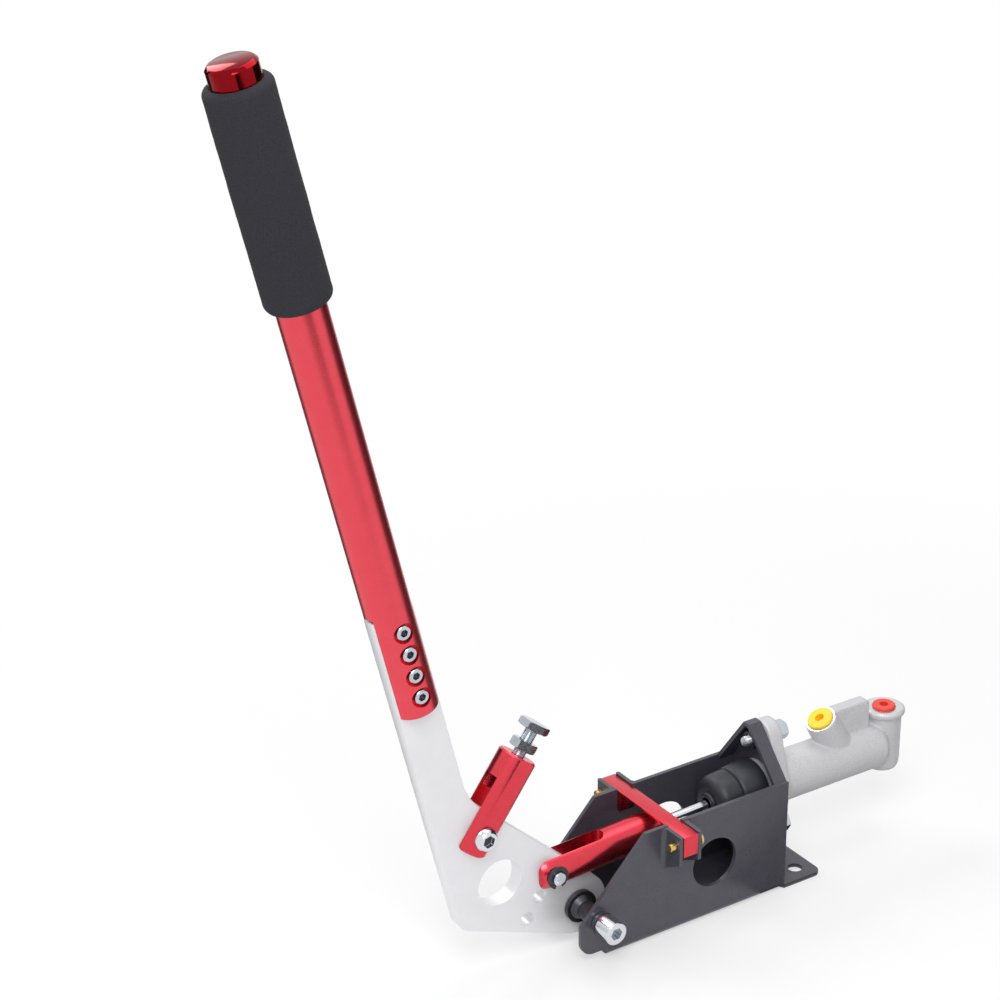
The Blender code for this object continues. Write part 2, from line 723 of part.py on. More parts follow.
def lever_plate():
    """Flat lever: eye round the pivot, heel in front, sloping back edge, and the arm that enters the handle."""
    heel = Vector((ARM_FRONT, HEEL_HEIGHT))
    shoulder = Vector((ARM_BACK, SHOULDER_HEIGHT))
    low_touch = math.atan2(heel.y, heel.x) + math.acos(EYE_RADIUS / heel.length)
    high_touch = math.atan2(shoulder.y, shoulder.x) - math.acos(EYE_RADIUS / shoulder.length)
    eye = arc((0, 0), EYE_RADIUS, low_touch, high_touch + 2 * math.pi)
    outline = rounded(
        [(ARM_BACK, ARM_TOP, 0.002), (ARM_FRONT, ARM_TOP, 0.002), (*heel, HEEL_RADIUS)]
        + [(a, b, 0) for a, b in eye]
        + [(*shoulder, SHOULDER_RADIUS)]
    )
    plate = prism("lever_plate", outline, -HALF_PLATE, HALF_PLATE, "XZY")
    soften(plate)
    holes = [
        (0, 0, PIVOT_BOLT_RADIUS + BUSH_WALL + GAP),
        (*WINDOW, WINDOW_RADIUS),
        (*PIN, PIN_RADIUS + GAP),
        (*STRUT_SCREW, STRUT_SCREW_RADIUS + GAP),
    ]
    for i in range(1, SPARE_HOLES + 1):
        step = i * SPARE_HOLE_PITCH
        away = PIN[0] - step * math.cos(SPARE_HOLE_FALL)
        down = PIN[1] - step * math.sin(SPARE_HOLE_FALL)
        holes.append((away, down, SPARE_HOLE_RADIUS))
    for i in range(TUBE_SCREWS):
        holes.append((ARM_CENTRE, TUBE_SCREW_START + i * TUBE_SCREW_PITCH, TUBE_SCREW_RADIUS + GAP))
    for a, b, radius in holes:
        drill(plate, radius, "Y", (a, 0, b), -PLATE_THICK, PLATE_THICK)
    return plate


def handle_tube():
    """Handle bar, solid and slotted over the lever arm, and hollow above."""
    solid_end = TUBE_SLOT_END + TUBE_PLUG
    profile = [
        (TUBE_START, TUBE_RADIUS - EDGE),
        (TUBE_START + EDGE, TUBE_RADIUS),
        (TUBE_END, TUBE_RADIUS),
        (TUBE_END, TUBE_BORE),
        (solid_end, TUBE_BORE),
    ]
    bar = turned("handle_tube", profile, "Z")
    half_slot = FORK_SLOT / 2
    width = 2 * TUBE_RADIUS
    cut(bar, block("slot", (-width, -half_slot, TUBE_START - EDGE * 2), (width, half_slot, TUBE_SLOT_END)))
    for i in range(TUBE_SCREWS):
        centre = (0, 0, TUBE_SCREW_START + i * TUBE_SCREW_PITCH)
        drill(bar, TUBE_SCREW_RADIUS + GAP, "Y", centre, -width, width)
        drill(bar, TUBE_COUNTERBORE, "Y", centre, -width, -TUBE_SEAT)
    return bar


def foam_grip():
    """Soft sleeve with rounded ends on the upper part of the handle."""
    inner = TUBE_RADIUS + GAP
    depth = min(GRIP_ROUND, (GRIP_RADIUS - inner) * 0.9)
    low = arc((GRIP_START + depth, GRIP_RADIUS - depth), depth, math.pi, math.pi / 2)
    high = arc((TUBE_END - depth, GRIP_RADIUS - depth), depth, math.pi / 2, 0)
    return turned("foam_grip", [(GRIP_START, inner)] + low + high + [(TUBE_END, inner)], "Z", ring=True)


def end_cap():
    """Plug with a flat chamfered head in the open end of the handle."""
    start = TUBE_END + GAP
    end = TUBE_END + CAP_LENGTH
    stem = TUBE_BORE - GAP
    profile = [
        (TUBE_END - CAP_STEM, stem - EDGE),
        (TUBE_END - CAP_STEM + EDGE, stem),
        (start, stem),
        (start, TUBE_RADIUS),
        (end - CAP_CHAMFER, TUBE_RADIUS),
        (end - CAP_CHAMFER / 4, TUBE_RADIUS - CAP_CHAMFER * 0.64),
        (end, TUBE_RADIUS - CAP_CHAMFER * 1.12),
    ]
    return turned("end_cap", profile, "Z")


def lock_strut():
    """Round bar with two flats, forked over the lever plate and tapped at its far end for the lock bolt."""
    end = STRUT_LENGTH
    profile = [
        (-STRUT_TAIL, STRUT_RADIUS - 2 * STRUT_EDGE),
        (-STRUT_TAIL + STRUT_EDGE, STRUT_RADIUS - STRUT_EDGE * 0.6),
        (-STRUT_TAIL + 2 * STRUT_EDGE, STRUT_RADIUS),
        (end - STRUT_EDGE, STRUT_RADIUS),
        (end, STRUT_RADIUS - STRUT_EDGE),
    ]
    bar = turned("lock_strut", profile, "X")
    wide = 2 * STRUT_RADIUS
    for side in (-1, 1):
        near, far = sorted((side * STRUT_FLATS / 2, side * wide))
        cut(bar, block("flat", (-wide, near, -wide), (end + wide, far, wide)))
    half_slot = FORK_SLOT / 2
    cut(bar, block("fork", (-wide, -half_slot, -wide), (STRUT_SLOT_END, half_slot, wide)))
    drill(bar, STRUT_SCREW_RADIUS + GAP, "Y", (0, 0, 0), -wide, wide)
    drill(bar, LOCK_RADIUS + GAP, "X", (0, 0, 0), STRUT_SLOT_END - EDGE, end + EDGE)
    return bar


def lock_bolt():
    """Bolt screwed into the end of the strut, which sets how far its head stands out."""
    bolt = hex_solid("lock_bolt", LOCK_HEAD_FLATS, LOCK_HEAD_START, LOCK_HEAD_START + LOCK_HEAD_LENGTH, "X")
    shank = [
        (LOCK_START, LOCK_RADIUS - EDGE),
        (LOCK_START + EDGE, LOCK_RADIUS),
        (LOCK_HEAD_START + LOCK_HEAD_LENGTH / 2, LOCK_RADIUS),
    ]
    join(bolt, turned("shank", shank, "X"))
    return bolt


def clevis():
    """Round fork over the lever plate, bored for the push rod at its other end."""
    nose = [
        (-CLEVIS_NOSE, CLEVIS_RADIUS * 0.62),
        (-CLEVIS_NOSE * 0.88, CLEVIS_RADIUS * 0.82),
        (-CLEVIS_NOSE * 0.60, CLEVIS_RADIUS * 0.96),
        (-CLEVIS_NOSE * 0.30, CLEVIS_RADIUS),
    ]
    tail = [(CLEVIS_LENGTH - 2 * EDGE, CLEVIS_RADIUS), (CLEVIS_LENGTH, CLEVIS_RADIUS - 2 * EDGE)]
    fork = turned("clevis", nose + tail, "X")
    half_slot = FORK_SLOT / 2
    beyond = 2 * CLEVIS_RADIUS
    slot = rounded([
        (-beyond, -half_slot, 0),
        (CLEVIS_SLOT_END, -half_slot, half_slot * 0.999),
        (CLEVIS_SLOT_END, half_slot, half_slot * 0.999),
        (-beyond, half_slot, 0),
    ])
    cut(fork, prism("slot", slot, -beyond, beyond, "XYZ"))
    drill(fork, PIN_RADIUS + GAP, "Y", (0, 0, 0), -beyond, beyond)
    drill(fork, ROD_RADIUS + GAP, "X", (0, 0, 0), CLEVIS_LENGTH - ROD_THREAD - GAP, CLEVIS_LENGTH + EDGE)
    return fork


def clevis_pin():
    half = CLEVIS_RADIUS + PIN_OVERHANG
    profile = [
        (-half, PIN_RADIUS - EDGE),
        (-half + EDGE, PIN_RADIUS),
        (half - EDGE, PIN_RADIUS),
        (half, PIN_RADIUS - EDGE),
    ]
    return turned("clevis_pin", profile, "Y")


def open_clip(name, inner, outer, thick, axes, opening):
    """Spring clip: a flat ring with a gap at its foot."""
    start = -math.pi / 2 + opening
    end = 1.5 * math.pi - opening
    outline = arc((0, 0), outer, start, end) + arc((0, 0), inner, end, start)
    return prism(name, outline, -thick / 2, thick / 2, axes)


def push_rod():
    """Rod screwed into the clevis, with a ball end in the piston's socket."""
    start = CLEVIS_LENGTH - ROD_THREAD
    neck = math.asin(ROD_RADIUS * 0.8 / BALL_RADIUS)
    ball = arc((ROD_LENGTH, 0), BALL_RADIUS, math.pi - neck, math.radians(20))
    profile = [
        (start, ROD_RADIUS - EDGE),
        (start + EDGE, ROD_RADIUS),
        (ROD_LENGTH - BALL_RADIUS - 2 * EDGE, ROD_RADIUS),
    ]
    return turned("push_rod", profile + ball, "X")


def cylinder_body():
    """Cast body: lobed flange, barrel, tilted outlet boss, upright inlet column and the web between them."""
    root = FLANGE_THICK
    barrel = [
        (-SPIGOT_REACH, SPIGOT_RADIUS - EDGE),
        (-SPIGOT_REACH + EDGE, SPIGOT_RADIUS),
        (root, SPIGOT_RADIUS),
        (root + 0.0015, BARREL_RADIUS + 0.0004),
        (root + 0.004, BARREL_RADIUS),
        (BARREL_END - 0.005, BARREL_RADIUS),
        (BARREL_END - 0.0015, BARREL_RADIUS - 0.002),
        (BARREL_END, BARREL_RADIUS - 0.005),
    ]
    body = turned("cylinder_body", barrel, "X")
    centre = (0, 0, FLANGE_RADIUS)
    upper, lower = [(y, z, FLANGE_LOBE) for y, z in BOLT_CIRCLE]
    flange = prism("flange", belt([upper, centre, lower, centre]), GAP, FLANGE_THICK, "YZX")
    soften(flange, 2 * EDGE)
    column = [
        (-INLET_FOOT, INLET_RADIUS - 0.004),
        (-INLET_FOOT + 0.0012, INLET_RADIUS - 0.0014),
        (-INLET_FOOT + 0.004, INLET_RADIUS),
        (INLET_TOP, INLET_RADIUS),
        (INLET_TOP, INLET_RIM_RADIUS - EDGE),
        (INLET_TOP + EDGE, INLET_RIM_RADIUS),
        (INLET_TOP + INLET_RIM - 2 * EDGE, INLET_RIM_RADIUS),
        (INLET_TOP + INLET_RIM, INLET_RIM_RADIUS - 2 * EDGE),
    ]
    inlet = turned("inlet", column, "Z")
    inlet.data.transform(Matrix.Translation((INLET_CENTRE, 0, 0)))
    outlet_place = outlet_frame()
    depth = OUTLET_RISE / math.cos(OUTLET_TILT)
    boss = [(0, OUTLET_RADIUS - EDGE), (-EDGE, OUTLET_RADIUS), (-depth, OUTLET_RADIUS + 0.0012)]
    outlet = turned("outlet", boss, "Z")
    outlet.data.transform(outlet_place)
    web = rounded([
        (WEB_START, 0, 0),
        (WEB_START + 0.004, WEB_TOP, 0.003),
        (WEB_END, WEB_TOP, 0.004),
        (WEB_END + 0.001, 0, 0),
    ])
    rib = prism("web", web, -WEB_THICK / 2, WEB_THICK / 2, "XZY")
    soften(rib, 2 * EDGE)
    join(body, flange, outlet, rib, inlet)
    bore = [
        (-SPIGOT_REACH - EDGE, MOUTH_RADIUS),
        (-MOUTH_END - STOP_THICK - CLIP_WIRE - 4 * GAP, MOUTH_RADIUS),
        (-MOUTH_END - STOP_THICK - CLIP_WIRE - 4 * GAP, MOUTH_RADIUS + 0.0008),
        (-MOUTH_END - STOP_THICK - GAP, MOUTH_RADIUS + 0.0008),
        (-MOUTH_END - STOP_THICK - GAP, MOUTH_RADIUS),
        (-MOUTH_END, MOUTH_RADIUS),
        (-MOUTH_END, BORE_RADIUS),
        (BORE_END, BORE_RADIUS),
        (BORE_END + 0.004, PASSAGE_RADIUS),
        (INLET_CENTRE + PASSAGE_RADIUS, PASSAGE_RADIUS),
    ]
    cut(body, turned("bore", bore, "X", sides=24))
    top = INLET_TOP + INLET_RIM
    inlet_port = turned("inlet_port", port_profile(top, INLET_PLUG_RADIUS), "Z", sides=24)
    inlet_port.data.transform(Matrix.Translation((INLET_CENTRE, 0, top)))
    outlet_port = turned("outlet_port", port_profile(depth, OUTLET_PLUG_RADIUS), "Z", sides=24)
    outlet_port.data.transform(outlet_place)
    cut(body, inlet_port, outlet_port)
    for y, z in BOLT_CIRCLE:
        drill(body, FLANGE_BOLT_RADIUS + GAP, "X", (0, y, z), -SHEET, FLANGE_THICK + SHEET)
    return body


def outlet_frame():
    """Frame of the outlet: its origin in the middle of the boss's face, and Z out along the boss."""
    turn = Matrix.Rotation(-OUTLET_TILT, 4, "Y")
    return Matrix.Translation((OUTLET_CENTRE, 0, OUTLET_RISE)) @ turn


def port_profile(depth, cap):
    """Threaded port with a narrow passage on down to the bore, from its mouth at 0, spot faced to take a cap."""
    return [
        (EDGE, cap + GAP),
        (-SPOT_DEPTH, cap + GAP),
        (-SPOT_DEPTH, PORT_RADIUS),
        (-PORT_DEPTH, PORT_RADIUS),
        (-PORT_DEPTH - 0.002, PASSAGE_RADIUS),
        (-depth, PASSAGE_RADIUS),
    ]


def port_plug(name, cap):
    """Soft transport plug: a thin cap on a stem, with a round grip recess."""
    stem = PORT_RADIUS - GAP
    profile = [
        (-PLUG_STEM, stem - EDGE),
        (-PLUG_STEM + EDGE, stem),
        (GAP - SPOT_DEPTH, stem),
        (GAP - SPOT_DEPTH, cap),
        (PLUG_CAP - EDGE, cap),
        (PLUG_CAP, cap - EDGE),
        (PLUG_CAP, PLUG_RECESS),
        (-PLUG_STEM * 0.4, PLUG_RECESS - EDGE),
    ]
    return turned(name, profile, "Z", sides=16)


def flange_bolt(name):
    """Hexagon bolt with a washer face behind the flange, its shank forward through the end plate."""
    start = FLANGE_THICK + GAP
    head = hex_solid(name, FLANGE_BOLT_FLATS, start, start + WASHER_FACE + FLANGE_BOLT_HEAD, "X")
    washer = FLANGE_BOLT_FLATS * 0.6
    face = [
        (-FLANGE_BOLT_TAIL, FLANGE_BOLT_RADIUS - EDGE),
        (-FLANGE_BOLT_TAIL + EDGE, FLANGE_BOLT_RADIUS),
        (start, FLANGE_BOLT_RADIUS),
        (start, washer),
        (start + WASHER_FACE * 0.6, washer),
        (start + WASHER_FACE, FLANGE_BOLT_FLATS * 0.45),
    ]
    join(head, turned("face", face, "X", sides=18))
    return head


def piston():
    """Piston with a ball socket in front and grooves for its two seals."""
    start = -MOUTH_END + GAP
    bottom = BALL_DEPTH + BALL_RADIUS + GAP
    groove = PISTON_NECK
    second = SECOND_SEAL
    first = FIRST_SEAL
    waist_start = second + 2 * SEAL_LENGTH
    waist_end = first - PISTON_LAND
    profile = [
        (bottom, PISTON_SOCKET * 0.45),
        (bottom - SOCKET_TAPER, PISTON_SOCKET),
        (start, PISTON_SOCKET),
        (start, PISTON_RADIUS),
        (second, PISTON_RADIUS),
        (second, groove),
        (second + SEAL_LENGTH, groove),
        (second + SEAL_LENGTH, PISTON_RADIUS),
        (waist_start, PISTON_RADIUS),
        (waist_start + PISTON_WAIST, PISTON_RADIUS - PISTON_WAIST),
        (waist_end - PISTON_WAIST, PISTON_RADIUS - PISTON_WAIST),
        (waist_end, PISTON_RADIUS),
        (first, PISTON_RADIUS),
        (first, groove),
        (first + SEAL_LENGTH, groove),
        (first + SEAL_LENGTH, PISTON_RADIUS),
        (PISTON_END, PISTON_RADIUS),
    ]
    return turned("piston", profile, "X")


def seal(name, start):
    """Lip seal in its groove, its lip towards the pressure side."""
    low = start + GAP
    high = start + SEAL_LENGTH - GAP
    inner = PISTON_NECK + GAP
    profile = [
        (low, inner),
        (low, SEAL_RADIUS - 2 * EDGE),
        (high - EDGE, SEAL_RADIUS),
        (high, SEAL_RADIUS - EDGE),
        (low + SEAL_LENGTH * 0.4, (SEAL_RADIUS + inner) / 2),
        (high, inner + EDGE),
        (high - EDGE, inner),
    ]
    return turned(name, profile, "X", ring=True)


def return_spring():
    """Coil from the piston's end to the bottom of the bore."""
    coil = BORE_RADIUS - SPRING_WIRE - 2 * GAP
    start = PISTON_END + SPRING_WIRE + GAP
    end = BORE_END - SPRING_WIRE - GAP
    curve = bpy.data.curves.new("return_spring", "CURVE")
    curve.dimensions = "3D"
    curve.bevel_depth = SPRING_WIRE
    curve.bevel_resolution = 1
    curve.use_fill_caps = True
    per_turn = 10
    count = SPRING_TURNS * per_turn
    spline = curve.splines.new("POLY")
    spline.points.add(count)
    for i, point in enumerate(spline.points):
        angle = 2 * math.pi * i / per_turn
        ease = min(1.0, i / per_turn, (count - i) / per_turn)
        along = i / count
        close = 0.5 - 0.5 * math.cos(math.pi * along)
        x = start + (end - start) * (close * (1 - ease) + along * ease)
        point.co = (x, coil * math.cos(angle), coil * math.sin(angle), 1)
    obj = bpy.data.objects.new("return_spring", curve)
    bpy.context.collection.objects.link(obj)
    return obj


def boot():
    """Moulded boot from a hub on the push rod back to a bead that grips the cylinder's spigot."""
    bead = -SPIGOT_REACH + BOOT_GRIP
    seat = SPIGOT_RADIUS + GAP
    nose = -BOOT_NOSE
    hole = ROD_RADIUS + BOOT_ROD_ROOM
    crease = nose + BOOT_CREASE
    profile = [
        (nose, hole),
        (nose, BOOT_HUB - EDGE),
        (nose + BOOT_HUB_LENGTH, BOOT_HUB),
        (nose + BOOT_HUB_LENGTH + GAP, BOOT_SHOULDER * 0.66),
        (nose + BOOT_ROUND * 0.35, BOOT_SHOULDER * 0.82),
        (nose + BOOT_ROUND * 0.62, BOOT_SHOULDER * 0.93),
        (nose + BOOT_ROUND, BOOT_SHOULDER),
        (crease - BOOT_CREASE_HALF, BOOT_SHOULDER + EDGE),
        (crease, BOOT_SHOULDER),
        (crease + BOOT_CREASE_HALF, BOOT_SHOULDER + 1.6 * EDGE),
        (-SPIGOT_REACH + 2 * EDGE, BOOT_RADIUS),
        (bead - EDGE, BOOT_RADIUS),
        (bead, BOOT_RADIUS - EDGE),
        (bead, seat),
        (-SPIGOT_REACH - GAP, seat),
        (-SPIGOT_REACH - 0.002, BOOT_RADIUS - 0.003),
        (crease, BOOT_SHOULDER - 2 * BOOT_WALL),
        (nose + BOOT_ROUND * 0.92, BOOT_SHOULDER - 2.2 * BOOT_WALL),
        (nose + BOOT_ROUND / 2, BOOT_SHOULDER * 0.62),
        (nose + BOOT_ROUND * 0.42, hole),
    ]
    made = turned("boot", profile, "X", ring=True)
    rod_drop = math.tan(ROD_RISE) * (BALL_DEPTH + BOOT_NOSE)
    held = SPIGOT_REACH + BOOT_STRAIGHT
    for vert in made.data.vertices:
        share = min(1.0, max(0.0, (-vert.co.x - held) / (BOOT_NOSE - held)))
        vert.co.z -= rod_drop * share
    return made


def finishes():
    """Materials, with the colours seen in the photograph."""
    return {
        "red": material("red_anodised", (216, 66, 78), 0.28, 0.7),
        "plate": material("brushed_aluminium", (226, 227, 230), 0.34, 0.9),
        "black": material("black_coating", (70, 70, 78), 0.5),
        "cast": material("cast_aluminium", (198, 199, 202), 0.55, 0.6),
        "foam": material("black_foam", (60, 60, 66), 0.9),
        "rubber": material("black_rubber", (58, 60, 66), 0.6),
        "chrome": material("bright_steel", (222, 224, 228), 0.18, 1.0),
        "zinc": material("zinc_steel", (205, 208, 214), 0.32, 0.9),
        "dark": material("dark_steel", (66, 66, 72), 0.42, 0.8),
        "yellow": material("yellow_plastic", (255, 222, 48), 0.45),
        "orange": material("orange_plastic", (240, 92, 80), 0.45),
    }


def build_base(finish):
    place(base_channel(), finish["black"])
    place(crossbar(), finish["red"])
    for name, side in (("crossbar_bolt_near", -1), ("crossbar_bolt_far", 1)):
        behind = (BAR_BACK + SHEET + 2 * GAP, side * BAR_BOLT_Y, BAR_BOLT_Z)
        place(crossbar_bolt(name), finish["chrome"], location=behind)
    near = HALF_WIDTH + GAP
    place(pivot_spacer("pivot_spacer_near", -1), finish["dark"], location=PIVOT)
    place(pivot_spacer("pivot_spacer_far", 1), finish["dark"], location=PIVOT)
    bore = PIVOT_BOLT_RADIUS + GAP
    collar_end = near + PIVOT_COLLAR_LENGTH
    collar = tube("pivot_collar", bore, PIVOT_COLLAR_RADIUS, -collar_end, -near, "Y")
    place(collar, finish["zinc"], location=PIVOT)
    ring_end = collar_end + GAP + PIVOT_RING_LENGTH
    ring = tube("pivot_lock_ring", bore, PIVOT_HEAD_RADIUS, -ring_end, -collar_end - GAP, "Y", EDGE)
    place(ring, finish["dark"], location=PIVOT)
    head = ring_end + GAP
    reach = head + near + PIVOT_NUT_LENGTH + PIVOT_TAIL
    bolt = socket_screw("pivot_bolt", PIVOT_HEAD_RADIUS, PIVOT_HEAD_LENGTH, PIVOT_BOLT_RADIUS, reach, "Y")
    place(bolt, finish["chrome"], location=PIVOT - Vector((0, head, 0)))
    far_nut = nut("pivot_nut", PIVOT_NUT_FLATS, PIVOT_NUT_LENGTH, PIVOT_BOLT_RADIUS, "Y")
    place(far_nut, finish["zinc"], location=PIVOT + Vector((0, near, 0)))


def build_cylinder(finish):
    centre = axis_empty("cylinder_axis", (0, 0, CYLINDER_HEIGHT), 0)
    place(cylinder_body(), finish["cast"], centre)
    place(boot(), finish["rubber"], centre)
    for name, (y, z) in zip(("upper", "lower"), BOLT_CIRCLE):
        place(flange_bolt("flange_bolt_" + name), finish["zinc"], centre, (0, y, z))
        lock = nut(
            "flange_nut_" + name, FLANGE_BOLT_FLATS, FLANGE_NUT_LENGTH, FLANGE_BOLT_RADIUS, "X", NEAR_LIP_SLOPE
        )
        place(lock, finish["dark"], centre, (-SHEET - GAP - FLANGE_NUT_LENGTH, y, z))
    outlet = outlet_frame()
    place(port_plug("outlet_plug", OUTLET_PLUG_RADIUS), finish["yellow"], centre, outlet.translation, (0, -OUTLET_TILT, 0))
    top = (INLET_CENTRE, 0, INLET_TOP + INLET_RIM)
    place(port_plug("inlet_plug", INLET_PLUG_RADIUS), finish["orange"], centre, top)
    stop = -MOUTH_END - GAP / 2
    washer = tube("stop_washer", STOP_BORE, MOUTH_RADIUS - GAP, -MOUTH_END - STOP_THICK, stop, "X")
    place(washer, finish["zinc"], centre)
    circlip = open_clip("circlip", MOUTH_RADIUS - 0.0018, MOUTH_RADIUS + GAP, CLIP_WIRE, "YZX", math.radians(18))
    place(circlip, finish["dark"], centre, (-MOUTH_END - STOP_THICK - CLIP_WIRE / 2 - 2.5 * GAP, 0, 0))
    sliding = axis_empty("piston_slide", (0, 0, 0), 0, centre)
    place(piston(), finish["zinc"], sliding)
    place(seal("primary_seal", FIRST_SEAL), finish["rubber"], sliding)
    place(seal("secondary_seal", SECOND_SEAL), finish["rubber"], sliding)
    spring = return_spring()
    spring.data.materials.append(finish["zinc"])
    spring.parent = centre


def build_lever(finish, lever):
    place(lever_plate(), finish["plate"], lever)
    outer = PIVOT_BOLT_RADIUS + BUSH_WALL
    bush = tube("pivot_bush", PIVOT_BOLT_RADIUS + GAP, outer, -HALF_PLATE, HALF_PLATE, "Y")
    place(bush, finish["zinc"], lever)
    along_arm = (ARM_CENTRE, 0, 0)
    place(handle_tube(), finish["red"], lever, along_arm)
    place(foam_grip(), finish["foam"], lever, along_arm)
    place(end_cap(), finish["red"], lever, along_arm)
    for i in range(TUBE_SCREWS):
        length = TUBE_SEAT + TUBE_RADIUS * 0.85
        screw = socket_screw(
            f"tube_screw_{i + 1}", TUBE_SCREW_HEAD, TUBE_SCREW_HEAD_LENGTH, TUBE_SCREW_RADIUS, length, "Y"
        )
        at = (ARM_CENTRE, -TUBE_SEAT - GAP, TUBE_SCREW_START + i * TUBE_SCREW_PITCH)
        place(screw, finish["zinc"], lever, at)
    flat = STRUT_FLATS / 2 + GAP
    length = 2 * flat + STRUT_NUT_LENGTH + 0.002
    screw = socket_screw(
        "strut_screw", STRUT_HEAD_RADIUS, STRUT_HEAD_LENGTH, STRUT_SCREW_RADIUS, length, "Y", STRUT_HEAD_LENGTH * 0.5
    )
    place(screw, finish["chrome"], lever, (STRUT_SCREW[0], -flat, STRUT_SCREW[1]))
    holder = nut("strut_nut", STRUT_NUT_FLATS, STRUT_NUT_LENGTH, STRUT_SCREW_RADIUS, "Y")
    place(holder, finish["zinc"], lever, (STRUT_SCREW[0], flat, STRUT_SCREW[1]))


def build_lock(finish, lever):
    turning = axis_empty("strut_axis", (STRUT_SCREW[0], 0, STRUT_SCREW[1]), STRUT_RISE - LEAN, lever)
    place(lock_strut(), finish["red"], turning)
    sliding = axis_empty("lock_slide", (0, 0, 0), 0, turning)
    place(lock_bolt(), finish["zinc"], sliding)
    jam = nut("lock_nut", LOCK_NUT_FLATS, LOCK_NUT_LENGTH, LOCK_RADIUS, "X")
    place(jam, finish["zinc"], sliding, (LOCK_NUT_START, 0, 0))


def build_clevis(finish, lever):
    turning = axis_empty("clevis_axis", (PIN[0], 0, PIN[1]), ROD_RISE - LEAN, lever)
    place(clevis(), finish["red"], turning)
    place(clevis_pin(), finish["zinc"], turning)
    for name, side in (("e_clip_near", -1), ("e_clip_far", 1)):
        clip = open_clip(name, PIN_RADIUS + GAP, CLIP_RADIUS, CLIP_THICK, "XZY", math.radians(20))
        place(clip, finish["dark"], turning, (0, side * (CLEVIS_RADIUS + GAP + CLIP_THICK / 2), 0))
    place(push_rod(), finish["chrome"], turning)
    jam = nut("rod_nut", ROD_NUT_FLATS, ROD_NUT_LENGTH, ROD_RADIUS, "X")
    place(jam, finish["zinc"], turning, (CLEVIS_LENGTH + GAP, 0, 0))


def main():
    for obj in list(bpy.data.objects):
        bpy.data.objects.remove(obj, do_unlink=True)
    finish = finishes()
    build_base(finish)
    build_cylinder(finish)
    lever = axis_empty("lever_axis", PIVOT, LEAN)
    build_lever(finish, lever)
    build_lock(finish, lever)
    build_clevis(finish, lever)


main()
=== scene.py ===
"""Looks of the hydraulic parking brake lever: finer meshes, procedural finishes, light and camera.

Metres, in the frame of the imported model: +Z up, X back along the cylinder, the handle at the -X end.
"""

import math

import bmesh
import bpy
from mathutils import Matrix, Vector, noise


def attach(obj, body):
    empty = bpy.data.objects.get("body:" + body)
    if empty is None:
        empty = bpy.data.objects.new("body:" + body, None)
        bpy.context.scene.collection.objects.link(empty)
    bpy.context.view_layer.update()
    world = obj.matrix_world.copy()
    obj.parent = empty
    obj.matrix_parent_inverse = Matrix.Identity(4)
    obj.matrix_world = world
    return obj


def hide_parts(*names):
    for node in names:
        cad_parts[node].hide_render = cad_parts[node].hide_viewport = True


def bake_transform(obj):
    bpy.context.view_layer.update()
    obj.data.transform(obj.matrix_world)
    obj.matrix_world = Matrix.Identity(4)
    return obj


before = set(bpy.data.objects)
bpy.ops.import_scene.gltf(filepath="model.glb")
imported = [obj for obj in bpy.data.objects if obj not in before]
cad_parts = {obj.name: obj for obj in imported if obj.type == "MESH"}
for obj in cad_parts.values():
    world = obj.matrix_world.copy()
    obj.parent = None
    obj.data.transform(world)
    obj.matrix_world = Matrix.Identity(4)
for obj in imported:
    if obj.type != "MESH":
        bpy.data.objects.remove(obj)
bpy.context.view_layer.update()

# Gap kept between pieces that touch on the real object
GAP = 0.0003

# Base, folded from sheet
SHEET = 0.003
BASE_WIDTH = 0.064
WALL_HEIGHT = 0.090
BEND_RADIUS = 0.006
PIVOT_SETBACK = 0.1675
PIVOT_HEIGHT = 0.0325
EAR_REACH = 0.0159
EAR_SLOPE = math.radians(47)
EAR_SLOPE_FOOT = 0.0314
EAR_CORNER = 0.011
EAR_BOTTOM = 0.0072
EAR_ROUND = 0.004
FLOOR_SETBACK = 0.008
SIDE_HOLE_RADIUS = 0.01935
SIDE_HOLE_SETBACK = 0.0664
SIDE_HOLE_HEIGHT = 0.0455
REAR_TAB = 0.0355
REAR_TAB_CORNER = 0.006
MOUNT_HOLE_RADIUS = 0.0055
MOUNT_HOLE_EDGE = 0.014

# End plate that carries the cylinder
PEAK_RISE = 0.0135
PEAK_NEAR = 0.0024
PEAK_FAR = 0.0086
LIP_WIDTH = 0.011
LIP_FLARE = 0.007
LIP_PEAK_ROUND = 0.001
LIP_FOOT_ROUND = 0.002

# Crossbar and the tabs that hold it
BAR_FROM_PIVOT = 0.0588
BAR_THICK = 0.0127
BAR_DEPTH = 0.0162
BAR_BELOW_WALL = 0.0012
BAR_WEB = 0.0016
BAR_RELIEF_INSET = 0.0028
TAB_REACH = 0.0183
TAB_DROP = 0.0005
TAB_BEND = 0.004
TAB_DEPTH = 0.023
TAB_SLANT = 0.010
TAB_ROUND = 0.001
TAB_CUT_PAST = 0.005
BAR_BOLT_RADIUS = 0.003
BAR_BOLT_EDGE = 0.0058
BAR_BOLT_HEAD = 0.0056
BAR_BOLT_HEAD_LENGTH = 0.0032
BAR_BOLT_TAIL = 0.005

# Pivot
PIVOT_BOLT_RADIUS = 0.005
PIVOT_HEAD_RADIUS = 0.0087
PIVOT_HEAD_LENGTH = 0.0136
PIVOT_COLLAR_RADIUS = 0.0073
PIVOT_COLLAR_LENGTH = 0.0037
PIVOT_RING_LENGTH = 0.0022
PIVOT_NUT_FLATS = 0.017
PIVOT_NUT_LENGTH = 0.008
PIVOT_TAIL = 0.0035
SPACER_FLANGE_RADIUS = 0.0123
SPACER_FLANGE = 0.004
SPACER_STEP_RADIUS = 0.0095
SPACER_HUB_RADIUS = 0.0068
BUSH_WALL = 0.003

